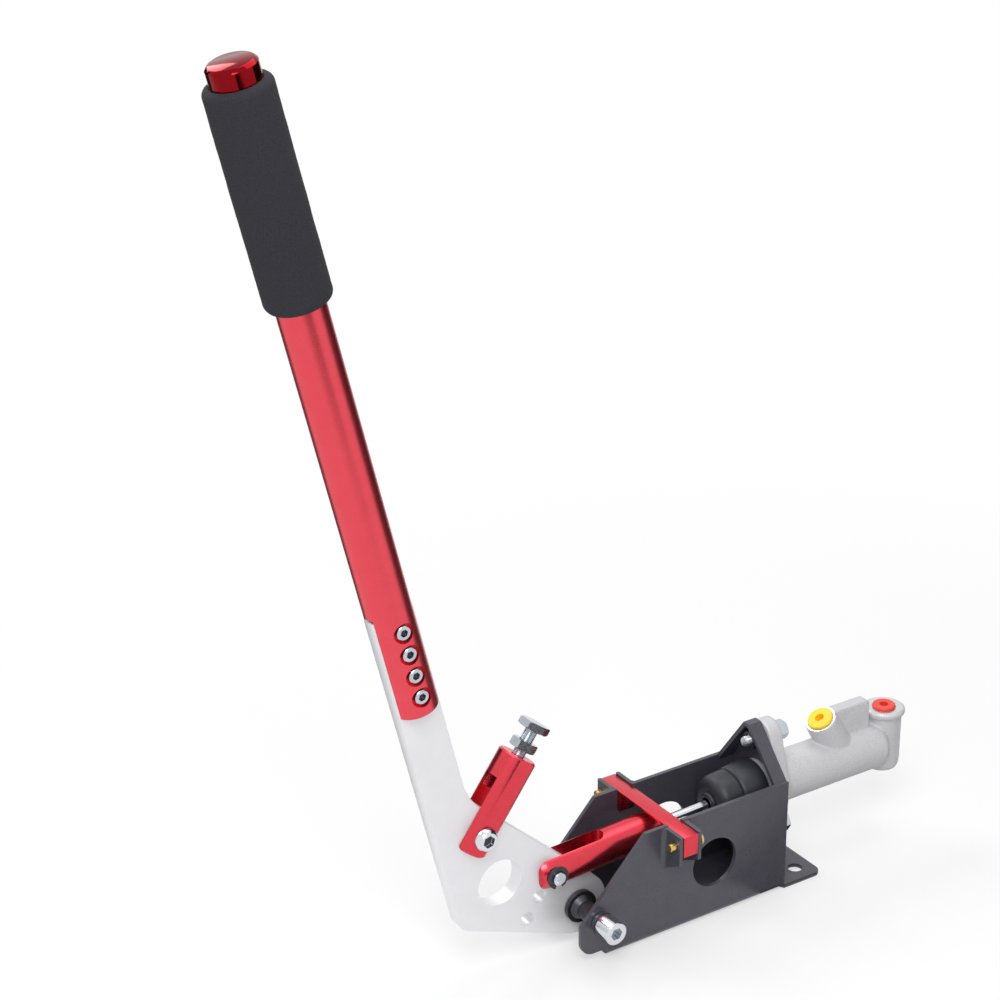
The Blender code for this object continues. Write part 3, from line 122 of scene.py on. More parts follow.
# Lever plate, in the lever's own frame: across the arm, then along it
LEAN = math.radians(14.08)
PLATE_THICK = 0.012
EYE_RADIUS = 0.0233
ARM_FRONT = -0.092
ARM_WIDTH = 0.031
ARM_TOP = 0.297
HEEL_HEIGHT = 0.0368
HEEL_RADIUS = 0.012
SHOULDER_HEIGHT = 0.1338
SHOULDER_RADIUS = 0.050
WINDOW = (-0.0543, 0.0561)
WINDOW_RADIUS = 0.0176
PIN = (-0.0140, 0.0386)
SPARE_HOLE_PITCH = 0.0186
SPARE_HOLE_FALL = math.radians(41.5)
SPARE_HOLE_RADIUS = 0.0055
SPARE_HOLES = 2

# Handle
TUBE_RADIUS = 0.016
TUBE_BORE = 0.013
TUBE_START = 0.221
TUBE_END = 0.668
TUBE_SLOT_END = 0.300
TUBE_PLUG = 0.012
TUBE_SCREWS = 4
TUBE_SCREW_START = 0.2354
TUBE_SCREW_PITCH = 0.01713
TUBE_SCREW_RADIUS = 0.003
TUBE_SCREW_HEAD = 0.0052
TUBE_SCREW_HEAD_LENGTH = 0.0055
TUBE_COUNTERBORE = 0.0072
TUBE_SEAT = 0.0098
GRIP_START = 0.524
GRIP_RADIUS = 0.02175
GRIP_ROUND = 0.005
CAP_LENGTH = 0.0127
CAP_CHAMFER = 0.0025
CAP_STEM = 0.015

# Clevis, pin and push rod, along the rod from the pin
FORK_SLOT = PLATE_THICK + 2 * GAP
CLEVIS_RADIUS = 0.013
CLEVIS_NOSE = 0.011
CLEVIS_SLOT_END = 0.0475
CLEVIS_LENGTH = 0.0985
PIN_RADIUS = 0.005
PIN_OVERHANG = 0.0037
CLIP_RADIUS = 0.0085
CLIP_THICK = 0.0012
ROD_RADIUS = 0.004
ROD_THREAD = 0.026
ROD_NUT_FLATS = 0.013
ROD_NUT_LENGTH = 0.0065
BALL_RADIUS = 0.0055
BALL_DEPTH = 0.002

# Swing-over lock strut, along the strut from its screw
STRUT_SCREW = (-0.059, 0.102)
STRUT_RISE = math.radians(54.2)
STRUT_RADIUS = 0.014
STRUT_FLATS = 0.025
STRUT_TAIL = 0.0143
STRUT_LENGTH = 0.060
STRUT_SLOT_END = 0.041
STRUT_EDGE = 0.0012
STRUT_SCREW_RADIUS = 0.004
STRUT_HEAD_RADIUS = 0.00875
STRUT_HEAD_LENGTH = 0.0045
STRUT_NUT_FLATS = 0.013
STRUT_NUT_LENGTH = 0.0065
LOCK_RADIUS = 0.00475
LOCK_START = 0.030
LOCK_HEAD_START = 0.0798
LOCK_HEAD_LENGTH = 0.0056
LOCK_HEAD_FLATS = 0.020
LOCK_NUT_START = 0.06445
LOCK_NUT_LENGTH = 0.0065
LOCK_NUT_FLATS = 0.017

# Master cylinder, along its axis from the face of the end plate
CYLINDER_HEIGHT = 0.074
BARREL_RADIUS = 0.0186
BARREL_END = 0.1125
SPIGOT_RADIUS = 0.0198
SPIGOT_REACH = 0.012
FLANGE_THICK = 0.012
FLANGE_RADIUS = 0.0205
FLANGE_LOBE = 0.013
FLANGE_BOLT_REACH = 0.0375
FLANGE_TILT = math.radians(5.4)
FLANGE_BOLT_RADIUS = 0.004
FLANGE_BOLT_FLATS = 0.013
FLANGE_BOLT_HEAD = 0.0085
FLANGE_NUT_LENGTH = 0.0065
WASHER_FACE = 0.0015
FLANGE_BOLT_TAIL = 0.0145
BORE_RADIUS = 0.00955
BORE_END = 0.095
MOUTH_RADIUS = 0.011
MOUTH_END = 0.0012
INLET_CENTRE = 0.1175
INLET_RADIUS = 0.0132
INLET_FOOT = 0.022
INLET_TOP = 0.024
INLET_RIM_RADIUS = 0.016
INLET_RIM = 0.0045
OUTLET_CENTRE = 0.055
OUTLET_RISE = 0.0365
OUTLET_RADIUS = 0.0122
OUTLET_TILT = math.radians(30)
WEB_THICK = 0.010
WEB_START = 0.060
WEB_END = 0.099
WEB_TOP = 0.042
PORT_RADIUS = 0.0052
PORT_DEPTH = 0.014
PASSAGE_RADIUS = 0.0016
SPOT_DEPTH = 0.0005
PLUG_CAP = 0.002
OUTLET_PLUG_RADIUS = 0.010
INLET_PLUG_RADIUS = 0.0088
PLUG_STEM = 0.009
PLUG_RECESS = 0.0035

# Boot over the open end of the cylinder
BOOT_NOSE = 0.050
BOOT_WALL = 0.0014
BOOT_RADIUS = 0.0215
BOOT_SHOULDER = 0.0196
BOOT_ROUND = 0.012
BOOT_EDGE_ROUND = 0.0075
BOOT_CREASE = 0.0211
BOOT_CREASE_HALF = 0.0012
BOOT_STRAIGHT = 0.003
BOOT_HUB = 0.0085
BOOT_HUB_LENGTH = 0.0022
BOOT_ROD_ROOM = 0.0015
BOOT_GRIP = 0.0045

# Step of arcs, broken edges, and how far a cutter reaches past what it cuts
ARC_STEP = math.radians(5)
EDGE = 0.0005
CUT_PAST = 0.02

PIVOT = Vector((-PIVOT_SETBACK, 0, PIVOT_HEIGHT))
HALF_WIDTH = BASE_WIDTH / 2
HALF_PLATE = PLATE_THICK / 2
BAR_FRONT = PIVOT.x + BAR_FROM_PIVOT
BAR_BACK = BAR_FRONT + BAR_THICK
BAR_TOP = WALL_HEIGHT - BAR_BELOW_WALL
BAR_BOTTOM = BAR_TOP - BAR_DEPTH
BAR_HALF = HALF_WIDTH + TAB_REACH
BAR_BOLT_Y = BAR_HALF - BAR_BOLT_EDGE
BAR_BOLT_Z = BAR_TOP - BAR_DEPTH / 2
ARM_BACK = ARM_FRONT + ARM_WIDTH
ARM_CENTRE = ARM_FRONT + ARM_WIDTH / 2
LEVER_TURN = Matrix.Rotation(-LEAN, 3, "Y")
PIN_PLACE = PIVOT + LEVER_TURN @ Vector((PIN[0], 0, PIN[1]))
BALL_PLACE = Vector((BALL_DEPTH, 0, CYLINDER_HEIGHT))
ROD_LENGTH = (BALL_PLACE - PIN_PLACE).length
ROD_RISE = math.asin((BALL_PLACE.z - PIN_PLACE.z) / ROD_LENGTH)
BOLT_CIRCLE = [
    (side * FLANGE_BOLT_REACH * math.sin(FLANGE_TILT), side * FLANGE_BOLT_REACH * math.cos(FLANGE_TILT))
    for side in (1, -1)
]
PEAK = CYLINDER_HEIGHT + BOLT_CIRCLE[0][1] + PEAK_RISE
LIP_FOOT = (HALF_WIDTH - SHEET / 2, WALL_HEIGHT - SHEET / 2)
NEAR_LIP_SLOPE = math.atan2(PEAK - LIP_FOOT[1], PEAK_NEAR + LIP_FOOT[0])

# Camera, fitted to the photograph
CAMERA_PLACE = (-1.0615, -1.2747, 1.0337)
CAMERA_TURN = math.radians(33.19)
CAMERA_DIP = math.radians(23.90)
CAMERA_ROLL = math.radians(-0.40)
CAMERA_LENS = 92.56

# Studio: the floor's half width, its white share near the object, the distances over which the shadow
# fades out, and lamps as name, place, width and power
FLOOR_HALF = 6.0
FLOOR_SHARE = 0.5
SHADOW_FADE = (0.25, 0.75)
FLOOR_COLOUR = (0.9, 0.9, 0.91, 1)
WORLD_STRENGTH = 0.45
LAMPS = (
    ("key", (-0.9, -1.0, 1.6), 0.9, 19),
    ("top", (0.3, 0.2, 1.9), 1.2, 9),
    ("back", (-0.5, 1.3, 1.4), 0.8, 9),
)
LAMP_TARGET = Vector((-0.05, 0, 0.2))

# Dark cards: distances from the pivot with their heights, and first and last direction in degrees from +X
CARD_COLOUR = (0.02, 0.02, 0.022, 1)
CARD_BACK = [(0.15, 0.0015), (1.7, 0.0015), (1.7, 1.5)]
CARD_LOW = [(0.9, 0.05), (0.9, 0.35)]
CARD_RIGHT = (-28, 34)
CARD_LEFT = (92, 128)
CARD_FRONT = (240, 276)
CARD_STEPS = 6

# Key recesses: share of the head left under them, and the clearance and thickness of the painted shade at
# their bottom
KEY_FLOOR = 0.3
KEY_SHADE = 0.00005

# Threads and cast skin
FINE_PITCH = 0.00125
THREAD_SIDES = 40
CAST_VOXEL = 0.0008
CAST_FILLET = 0.5
CAST_PASSES = 8
CAST_WAVE = 0.00008
CAST_WAVE_SIZE = 0.006
COLUMN_RIBS = 5
COLUMN_RIB_TURN = math.radians(30)
COLUMN_RIB_WIDTH = 0.0016
COLUMN_RIB_ROOT = 0.003
COLUMN_RIB_PROUD = 0.0009
COLUMN_RIB_FOOT = 0.006
OUTLET_FLARE = 0.0012

# Foam grip
FOAM_ROWS = 150
FOAM_SIDES = 120
FOAM_WAVE = 0.00022
FOAM_WAVE_SIZE = 0.014

LEVER = Matrix.Translation(PIVOT) @ Matrix.Rotation(-LEAN, 4, "Y")
ARM = LEVER @ Matrix.Translation((ARM_CENTRE, 0, 0))
STRUT = (
    LEVER
    @ Matrix.Translation((STRUT_SCREW[0], 0, STRUT_SCREW[1]))
    @ Matrix.Rotation(LEAN - STRUT_RISE, 4, "Y")
)
LINK = LEVER @ Matrix.Translation((PIN[0], 0, PIN[1])) @ Matrix.Rotation(LEAN - ROD_RISE, 4, "Y")
CYLINDER = Matrix.Translation((0, 0, CYLINDER_HEIGHT))


def at(x, y, z):
    return Matrix.Translation((x, y, z))


def srgb(red, green, blue):
    """Linear colour of a colour seen as 0 to 255."""
    return [
        ((value / 255 + 0.055) / 1.055) ** 2.4 if value > 10 else value / 3294
        for value in (red, green, blue)
    ]


def new_object(name, bm):
    bmesh.ops.recalc_face_normals(bm, faces=bm.faces)
    mesh = bpy.data.meshes.new(name)
    bm.to_mesh(mesh)
    bm.free()
    obj = bpy.data.objects.new(name, mesh)
    bpy.context.scene.collection.objects.link(obj)
    return obj


def evaluated_mesh(obj):
    graph = bpy.context.evaluated_depsgraph_get()
    return bpy.data.meshes.new_from_object(obj.evaluated_get(graph))


def apply_modifiers(obj):
    plain = obj.data
    obj.data = evaluated_mesh(obj)
    obj.modifiers.clear()
    bpy.data.meshes.remove(plain)


def open_edges(mesh):
    bm = bmesh.new()
    bm.from_mesh(mesh)
    found = sum(1 for edge in bm.edges if len(edge.link_faces) != 2)
    bm.free()
    return found


def combine(obj, other, operation):
    """Boolean of two closed meshes, by the exact solver unless that leaves an edge open."""
    boolean = obj.modifiers.new(operation.lower(), "BOOLEAN")
    boolean.operation = operation
    boolean.object = other
    boolean.solver = "EXACT"
    made = evaluated_mesh(obj)
    if open_edges(made) or not made.polygons:
        bpy.data.meshes.remove(made)
        boolean.solver = "MANIFOLD"
        made = evaluated_mesh(obj)
    plain = obj.data
    obj.data = made
    obj.modifiers.clear()
    bpy.data.meshes.remove(plain)
    bpy.data.objects.remove(other, do_unlink=True)


def cut(obj, *cutters):
    for cutter in cutters:
        combine(obj, cutter, "DIFFERENCE")


def join(obj, *others):
    for other in others:
        combine(obj, other, "UNION")


def soften(obj, width=EDGE, segments=2):
    """Rounds the sharp edges of a piece before anything is cut from it."""
    bevel = obj.modifiers.new("soften", "BEVEL")
    bevel.width = width
    bevel.segments = segments
    bevel.limit_method = "ANGLE"
    bevel.angle_limit = math.radians(40)
    apply_modifiers(obj)


def facets(radius):
    """Sides of a round piece, more on a larger one."""
    return 28 if radius < 0.0035 else 40 if radius < 0.006 else 64 if radius < 0.0128 else 96


def arc(centre, radius, start, end):
    """Points of an arc from one angle to another, both ends included."""
    steps = max(2, math.ceil(abs(end - start) / ARC_STEP))
    angles = [start + (end - start) * step / steps for step in range(steps + 1)]
    return [(centre[0] + radius * math.cos(angle), centre[1] + radius * math.sin(angle)) for angle in angles]


def rounded(corners):
    """Closed outline through corners (a, b, radius), each an arc where its radius isn't 0."""
    outline = []
    for i, (a, b, radius) in enumerate(corners):
        corner = Vector((a, b))
        last, following = corners[i - 1], corners[(i + 1) % len(corners)]
        to_last, to_next = Vector(last[:2]) - corner, Vector(following[:2]) - corner
        if not radius:
            outline.append((a, b))
            continue
        half = to_last.angle(to_next) / 2
        room = min(
            to_last.length * (0.5 if last[2] else 1),
            to_next.length * (0.5 if following[2] else 1),
        )
        reach = min(radius / math.tan(half), room)
        limited = reach * math.tan(half)
        inward = (to_last.normalized() + to_next.normalized()).normalized()
        centre = corner + inward * (limited / math.sin(half))
        start = corner + to_last.normalized() * reach - centre
        end = corner + to_next.normalized() * reach - centre
        first = math.atan2(start.y, start.x)
        turn = (math.atan2(end.y, end.x) - first + math.pi) % (2 * math.pi) - math.pi
        outline += arc(centre, limited, first, first + turn)
    return [p for i, p in enumerate(outline) if math.dist(p, outline[i - 1]) > 1e-6]


def belt(circles):
    """Outline of a belt laid anticlockwise round circles (a, b, radius)."""
    touches = []
    for i, (a, b, radius) in enumerate(circles):
        c, d, following = circles[(i + 1) % len(circles)]
        way = math.atan2(d - b, c - a)
        touches.append(way - math.acos((radius - following) / math.hypot(c - a, d - b)))
    outline = []
    for i, (a, b, radius) in enumerate(circles):
        start = touches[i - 1]
        outline += arc((a, b), radius, start, start + (touches[i] - start) % (2 * math.pi))
    return outline


def prism(name, outline, low, high, axes):
    """Solid between two copies of an outline. axes names where its two coordinates and its depth point."""
    order = ["XYZ".index(axis) for axis in axes]
    bm = bmesh.new()
    ends = []
    for depth in (low, high):
        ring = []
        for a, b in outline:
            point = Vector()
            for place, value in zip(order, (a, b, depth)):
                point[place] = value
            ring.append(bm.verts.new(point))
        bm.faces.new(ring)
        ends.append(ring)
    for i in range(len(outline)):
        bm.faces.new((ends[0][i - 1], ends[0][i], ends[1][i], ends[1][i - 1]))
    return new_object(name, bm)


def block(name, low, high):
    """Box between two corners."""
    (x0, y0, z0), (x1, y1, z1) = low, high
    return prism(name, [(x0, y0), (x1, y0), (x1, y1), (x0, y1)], z0, z1, "XYZ")


def turned(name, profile, axis, ring=False, sides=None):
    """Solid turned about an axis from points (along, radius). Its ends are flat, or closed on each other."""
    along = "XYZ".index(axis)
    first, second = [i for i in range(3) if i != along]
    sides = sides or facets(max(radius for _, radius in profile))
    bm = bmesh.new()
    rings = []
    for place, radius in profile:
        verts = []
        for side in range(sides):
            angle = 2 * math.pi * side / sides
            point = Vector()
            point[along] = place
            point[first] = radius * math.cos(angle)
            point[second] = radius * math.sin(angle)
            verts.append(bm.verts.new(point))
        rings.append(verts)
    pairs = list(zip(rings, rings[1:]))
    if ring:
        pairs.append((rings[-1], rings[0]))
    else:
        bm.faces.new(rings[0])
        bm.faces.new(rings[-1])
    for low, high in pairs:
        for i in range(sides):
            bm.faces.new((low[i - 1], low[i], high[i], high[i - 1]))
    return new_object(name, bm)


def tube(name, inner, outer, low, high, axis, edge=0.0):
    """Ring or sleeve, with its outer edges broken where edge isn't 0."""
    outside = [(low, outer), (high, outer)]
    if edge:
        outside = [(low, outer - edge), (low + edge, outer), (high - edge, outer), (high, outer - edge)]
    return turned(name, [(low, inner), *outside, (high, inner)], axis, ring=True)


def drill(obj, radius, axis, centre, low, high):
    """Cuts a round hole along an axis through centre, from low to high along that axis."""
    cutter = turned("drill", [(low, radius), (high, radius)], axis)
    cutter.data.transform(Matrix.Translation(centre))
    cut(obj, cutter)


def threaded(name, radius, low, high, axis, pitch):
    """Rod with a single thread along it, tapered to the root over its last turn at each end."""
    along_axis = "XYZ".index(axis)
    first, second = [i for i in range(3) if i != along_axis]
    depth = pitch * 0.5
    sides = THREAD_SIDES
    rows = math.ceil((high - low) / (pitch / 8))
    bm = bmesh.new()
    rings = []
    for row in range(rows + 1):
        along = low + (high - low) * row / rows
        run = min(1.0, (along - low) / pitch, (high - along) / pitch)
        ring = []
        for side in range(sides):
            angle = 2 * math.pi * side / sides
            phase = (along / pitch - side / sides) % 1
            crest = min(1.0, 1.35 * abs(2 * phase - 1))
            reach = radius - depth + depth * crest * run
            point = Vector()
            point[along_axis] = along
            point[first] = reach * math.cos(angle)
            point[second] = reach * math.sin(angle)
            ring.append(bm.verts.new(point))
        rings.append(ring)
    bm.faces.new(rings[0])
    bm.faces.new(rings[-1])
    for lower, upper in zip(rings, rings[1:]):
        for i in range(sides):
            bm.faces.new((lower[i - 1], lower[i], upper[i], upper[i - 1]))
    return new_object(name, bm)


def hexagon(flats, turn=0.0):
    radius = flats / math.sqrt(3)
    angles = [turn + math.radians(60 * i) for i in range(6)]
    return [(radius * math.cos(angle), radius * math.sin(angle)) for angle in angles]


def hex_solid(name, flats, low, high, axis, turn=0.0):
    """Hexagonal head or nut blank with both ends chamfered."""
    axes = {"X": "YZX", "Y": "XZY", "Z": "XYZ"}[axis]
    solid = prism(name, hexagon(flats, turn), low, high, axes)
    corner = flats / math.sqrt(3)
    drop = (corner - flats / 2) * 0.6
    profile = [
        (low - EDGE, flats / 2 - EDGE),
        (low + drop, corner + EDGE / 2),
        (high - drop, corner + EDGE / 2),
        (high + EDGE, flats / 2 - EDGE),
    ]
    combine(solid, turned("chamfer", profile, axis, sides=18), "INTERSECT")
    return solid


def nut(name, flats, length, bore, axis, turn=0.0):
    """Hexagonal nut from 0 to length along its axis."""
    solid = hex_solid(name, flats, 0, length, axis, turn)
    drill(solid, bore + GAP, axis, (0, 0, 0), -EDGE, length + EDGE)
    return solid


def socket_screw(name, head, head_length, shank, length, axis, dome=EDGE):
    """Screw whose head reaches back from 0 and whose shank runs forward, with a hexagonal key recess."""
    profile = [
        (-head_length, head - dome),
        (-head_length + dome, head - dome * 0.15),
        (0, head),
        (0, shank),
        (length - EDGE, shank),
        (length, shank - EDGE),
    ]
    solid = turned(name, profile, axis)
    axes = {"X": "YZX", "Y": "XZY"}[axis]
    key = head * 0.95
    cut(solid, prism("key", hexagon(key), -head_length - EDGE, -head_length * KEY_FLOOR, axes))
    return solid


def painted_key_shade(head, head_length, axis):
    """Dark disc of painted shade at the bottom of a key recess, standing in for the shade that falls inside
    it.
    """
    axes = {"X": "YZX", "Y": "XZY"}[axis]
    floor = -head_length * KEY_FLOOR
    return prism("painted_key_shade", hexagon(head * 0.9), floor - 2 * KEY_SHADE, floor - KEY_SHADE, axes)


def channel_walls():
    """U section bent from sheet, with the front of its walls cut to a slope and the floor cut back."""
    inner = HALF_WIDTH - SHEET
    bend = BEND_RADIUS - SHEET
    section = rounded([
        (-HALF_WIDTH, WALL_HEIGHT, 0),
        (-HALF_WIDTH, 0, BEND_RADIUS),
        (HALF_WIDTH, 0, BEND_RADIUS),
        (HALF_WIDTH, WALL_HEIGHT, 0),
        (inner, WALL_HEIGHT, 0),
        (inner, SHEET, bend),
        (-inner, SHEET, bend),
        (-inner, WALL_HEIGHT, 0),
    ])
    front = PIVOT.x - EAR_REACH
    beyond = CUT_PAST
    channel = prism("base_channel", section, front - beyond / 2, 0, "YZX")
    rise = WALL_HEIGHT + beyond - EAR_SLOPE_FOOT
    ahead = rounded([
        (front - beyond, WALL_HEIGHT + beyond, 0),
        (front + rise / math.tan(EAR_SLOPE), WALL_HEIGHT + beyond, 0),
        (front, EAR_SLOPE_FOOT, EAR_ROUND),
        (front, EAR_BOTTOM, EAR_CORNER),
        (PIVOT.x + FLOOR_SETBACK, EAR_BOTTOM, EAR_ROUND),
        (PIVOT.x + FLOOR_SETBACK, -beyond, 0),
        (front - beyond, -beyond, 0),
    ])
    cut(channel, prism("front_cut", ahead, -BASE_WIDTH, BASE_WIDTH, "XZY"))
    slot_low = (BAR_FRONT - GAP, -BASE_WIDTH, BAR_BOTTOM - GAP)
    slot_high = (BAR_BACK + GAP, BASE_WIDTH, WALL_HEIGHT + beyond)
    cut(channel, block("bar_slot", slot_low, slot_high))
    return channel


def bar_tab(side, face, way):
    """Tab bent out of a wall beside the crossbar, with its lower edge slanted down to the wall."""
    root = HALF_WIDTH - SHEET / 2
    back = face + way * SHEET
    top = WALL_HEIGHT - TAB_DROP
    low_outside = WALL_HEIGHT - TAB_DEPTH
    low_at_wall = low_outside - TAB_SLANT
    plan = rounded([
        (face, side * root, 0),
        (face, side * BAR_HALF, TAB_ROUND),
        (back, side * BAR_HALF, TAB_ROUND),
        (back, side * HALF_WIDTH, TAB_BEND),
        (back + way * TAB_BEND, side * HALF_WIDTH, 0),
        (back + way * TAB_BEND, side * root, 0),
    ])
    tab = prism("tab", plan, low_at_wall, top, "XYZ")
    slope = (low_outside - low_at_wall) / TAB_REACH
    past = TAB_CUT_PAST
    wedge = [
        (side * (HALF_WIDTH - past), low_at_wall - slope * past),
        (side * (BAR_HALF + past), low_outside + slope * past),
        (side * (BAR_HALF + past), low_at_wall - past),
        (side * (HALF_WIDTH - past), low_at_wall - past),
    ]
    cut(tab, prism("slant", wedge, face - BASE_WIDTH, face + BASE_WIDTH, "YZX"))
    return tab


def lip(foot, peak, front_foot, front_peak):
    """Flange folded forward along a slanted edge of the end plate, in line with that edge."""
    edge = Vector(peak) - Vector(foot)
    along = edge.normalized()
    inward = Vector((along.y, -along.x))
    if inward.x * foot[0] > 0:
        inward.negate()
    plan = rounded([
        (0, 0, 0),
        (edge.length, 0, 0),
        (edge.length, -front_peak, LIP_PEAK_ROUND),
        (0, -front_foot, LIP_FOOT_ROUND),
    ])
    made = prism("lip", plan, 0, SHEET, "XYZ")
    turn = Matrix((
        (0, 1, 0, 0),
        (along.x, 0, inward.x, foot[0]),
        (along.y, 0, inward.y, foot[1]),
        (0, 0, 0, 1),
    ))
    made.data.transform(turn)
    if turn.determinant() < 0:
        made.data.flip_normals()
    return made


def base_channel():
    """Whole folded base: channel, crossbar tabs, peaked end plate with its lips, and rear tab."""
    channel = channel_walls()
    for side in (-1, 1):
        join(channel, bar_tab(side, BAR_FRONT - GAP, -1), bar_tab(side, BAR_BACK + GAP, 1))
    root, shelf = LIP_FOOT
    inset = SHEET / 2
    end_plate = [
        (-root, inset),
        (root, inset),
        (root, shelf),
        (PEAK_FAR, PEAK - 1.5 * inset),
        (PEAK_NEAR, PEAK - 1.5 * inset),
        (-root, shelf),
    ]
    join(channel, prism("end_plate", end_plate, -SHEET, 0, "YZX"))
    join(channel, lip((-root, shelf), (PEAK_NEAR, PEAK), LIP_WIDTH, LIP_WIDTH))
    join(channel, lip((root, shelf), (PEAK_FAR, PEAK), LIP_WIDTH + LIP_FLARE, LIP_WIDTH))
    crest = [
        (PEAK_NEAR - inset, PEAK - SHEET),
        (PEAK_FAR + inset, PEAK - SHEET),
        (PEAK_FAR, PEAK),
        (PEAK_NEAR, PEAK),
    ]
    join(channel, prism("crest", crest, -LIP_WIDTH, 0, "YZX"))
    tab = rounded([
        (-SHEET, -HALF_WIDTH + BEND_RADIUS, 0),
        (0, -HALF_WIDTH, 0),
        (REAR_TAB, -HALF_WIDTH, REAR_TAB_CORNER),
        (REAR_TAB, HALF_WIDTH, REAR_TAB_CORNER),
        (0, HALF_WIDTH, 0),
        (-SHEET, HALF_WIDTH - BEND_RADIUS, 0),
    ])
    join(channel, prism("rear_tab", tab, 0, SHEET, "XYZ"))
    hole_y = HALF_WIDTH - MOUNT_HOLE_EDGE
    for x in (REAR_TAB - MOUNT_HOLE_EDGE, PIVOT.x + FLOOR_SETBACK + MOUNT_HOLE_EDGE):
        for y in (-hole_y, hole_y):
            drill(channel, MOUNT_HOLE_RADIUS, "Z", (x, y, 0), -SHEET, 2 * SHEET)
    side_hole = (-SIDE_HOLE_SETBACK, 0, SIDE_HOLE_HEIGHT)
    drill(channel, SIDE_HOLE_RADIUS, "Y", side_hole, -BASE_WIDTH, BASE_WIDTH)
    drill(channel, PIVOT_BOLT_RADIUS + GAP, "Y", PIVOT, -BASE_WIDTH, BASE_WIDTH)
    spigot = (0, 0, CYLINDER_HEIGHT)
    drill(channel, SPIGOT_RADIUS + 2 * GAP, "X", spigot, -2 * SHEET, SHEET)
    for y, z in BOLT_CIRCLE:
        drill(channel, FLANGE_BOLT_RADIUS + GAP, "X", (0, y, CYLINDER_HEIGHT + z), -2 * SHEET, SHEET)
    for y in (-BAR_BOLT_Y, BAR_BOLT_Y):
        centre = (BAR_FRONT, y, BAR_BOLT_Z)
        drill(channel, BAR_BOLT_RADIUS + GAP, "X", centre, -3 * SHEET, BAR_THICK + 3 * SHEET)
    return channel


def crossbar():
    """Bar across the top of the walls, cut away below so that the clevis passes under its middle."""
    relief = HALF_WIDTH - SHEET - BAR_RELIEF_INSET
    section = rounded([
        (-BAR_HALF, BAR_BOTTOM, 0),
        (-relief, BAR_BOTTOM, 0),
        (-relief, BAR_TOP - BAR_WEB, 0.003),
        (relief, BAR_TOP - BAR_WEB, 0.003),
        (relief, BAR_BOTTOM, 0),
        (BAR_HALF, BAR_BOTTOM, 0),
        (BAR_HALF, BAR_TOP, 0),
        (-BAR_HALF, BAR_TOP, 0),
    ])
    bar = prism("crossbar", section, BAR_FRONT, BAR_BACK, "YZX")
    soften(bar, EDGE / 2)
    for y in (-BAR_BOLT_Y, BAR_BOLT_Y):
        drill(bar, BAR_BOLT_RADIUS + GAP, "X", (BAR_FRONT, y, BAR_BOLT_Z), -EDGE, BAR_THICK + EDGE)
    return bar


def crossbar_bolt(name):
    """Pan head bolt through both tabs and the bar, with its head behind the rear tab."""
    grip = BAR_THICK + 2 * (SHEET + 2 * GAP) + BAR_BOLT_TAIL
    head = [
        (0, BAR_BOLT_HEAD),
        (BAR_BOLT_HEAD_LENGTH * 0.55, BAR_BOLT_HEAD * 0.96),
        (BAR_BOLT_HEAD_LENGTH * 0.85, BAR_BOLT_HEAD * 0.75),
        (BAR_BOLT_HEAD_LENGTH, BAR_BOLT_HEAD * 0.4),
    ]
    shank = [(-grip, BAR_BOLT_RADIUS - EDGE), (-grip + EDGE, BAR_BOLT_RADIUS), (0, BAR_BOLT_RADIUS)]
    bolt = turned(name, shank + head, "X")
    key = hexagon(BAR_BOLT_HEAD * 0.7)
    cut(bolt, prism("key", key, BAR_BOLT_HEAD_LENGTH * 0.4, BAR_BOLT_HEAD_LENGTH + EDGE, "YZX"))
    return bolt


def pivot_spacer(name, side):
    """Flanged spacer from the lever plate out to a wall."""
    start = HALF_PLATE + GAP
    end = HALF_WIDTH - SHEET - GAP
    bore = PIVOT_BOLT_RADIUS + GAP
    profile = [
        (start, bore),
        (start, SPACER_FLANGE_RADIUS - EDGE),
        (start + EDGE, SPACER_FLANGE_RADIUS),
        (start + SPACER_FLANGE, SPACER_FLANGE_RADIUS),
        (start + SPACER_FLANGE, SPACER_STEP_RADIUS),
        (start + 2 * SPACER_FLANGE, SPACER_HUB_RADIUS),
        (end, SPACER_HUB_RADIUS),
        (end, bore),
    ]
    return turned(name, [(side * along, radius) for along, radius in profile], "Y", ring=True)


def lever_plate():
    """Flat lever: eye round the pivot, heel in front, sloping back edge, and the arm inside the handle."""
    heel = Vector((ARM_FRONT, HEEL_HEIGHT))
    shoulder = Vector((ARM_BACK, SHOULDER_HEIGHT))
    low_touch = math.atan2(heel.y, heel.x) + math.acos(EYE_RADIUS / heel.length)
    high_touch = math.atan2(shoulder.y, shoulder.x) - math.acos(EYE_RADIUS / shoulder.length)
    eye = arc((0, 0), EYE_RADIUS, low_touch, high_touch + 2 * math.pi)
    outline = rounded(
        [(ARM_BACK, ARM_TOP, 0.002), (ARM_FRONT, ARM_TOP, 0.002), (*heel, HEEL_RADIUS)]
        + [(a, b, 0) for a, b in eye]
        + [(*shoulder, SHOULDER_RADIUS)]
    )
    plate = prism("lever_plate", outline, -HALF_PLATE, HALF_PLATE, "XZY")
    soften(plate)
    holes = [
        (0, 0, PIVOT_BOLT_RADIUS + BUSH_WALL + GAP),
        (*WINDOW, WINDOW_RADIUS),
        (*PIN, PIN_RADIUS + GAP),
        (*STRUT_SCREW, STRUT_SCREW_RADIUS + GAP),
    ]
    for i in range(1, SPARE_HOLES + 1):
        step = i * SPARE_HOLE_PITCH
        away = PIN[0] - step * math.cos(SPARE_HOLE_FALL)
        down = PIN[1] - step * math.sin(SPARE_HOLE_FALL)
        holes.append((away, down, SPARE_HOLE_RADIUS))
    for i in range(TUBE_SCREWS):
        holes.append((ARM_CENTRE, TUBE_SCREW_START + i * TUBE_SCREW_PITCH, TUBE_SCREW_RADIUS + GAP))
    for a, b, radius in holes:
        drill(plate, radius, "Y", (a, 0, b), -PLATE_THICK, PLATE_THICK)
    return plate


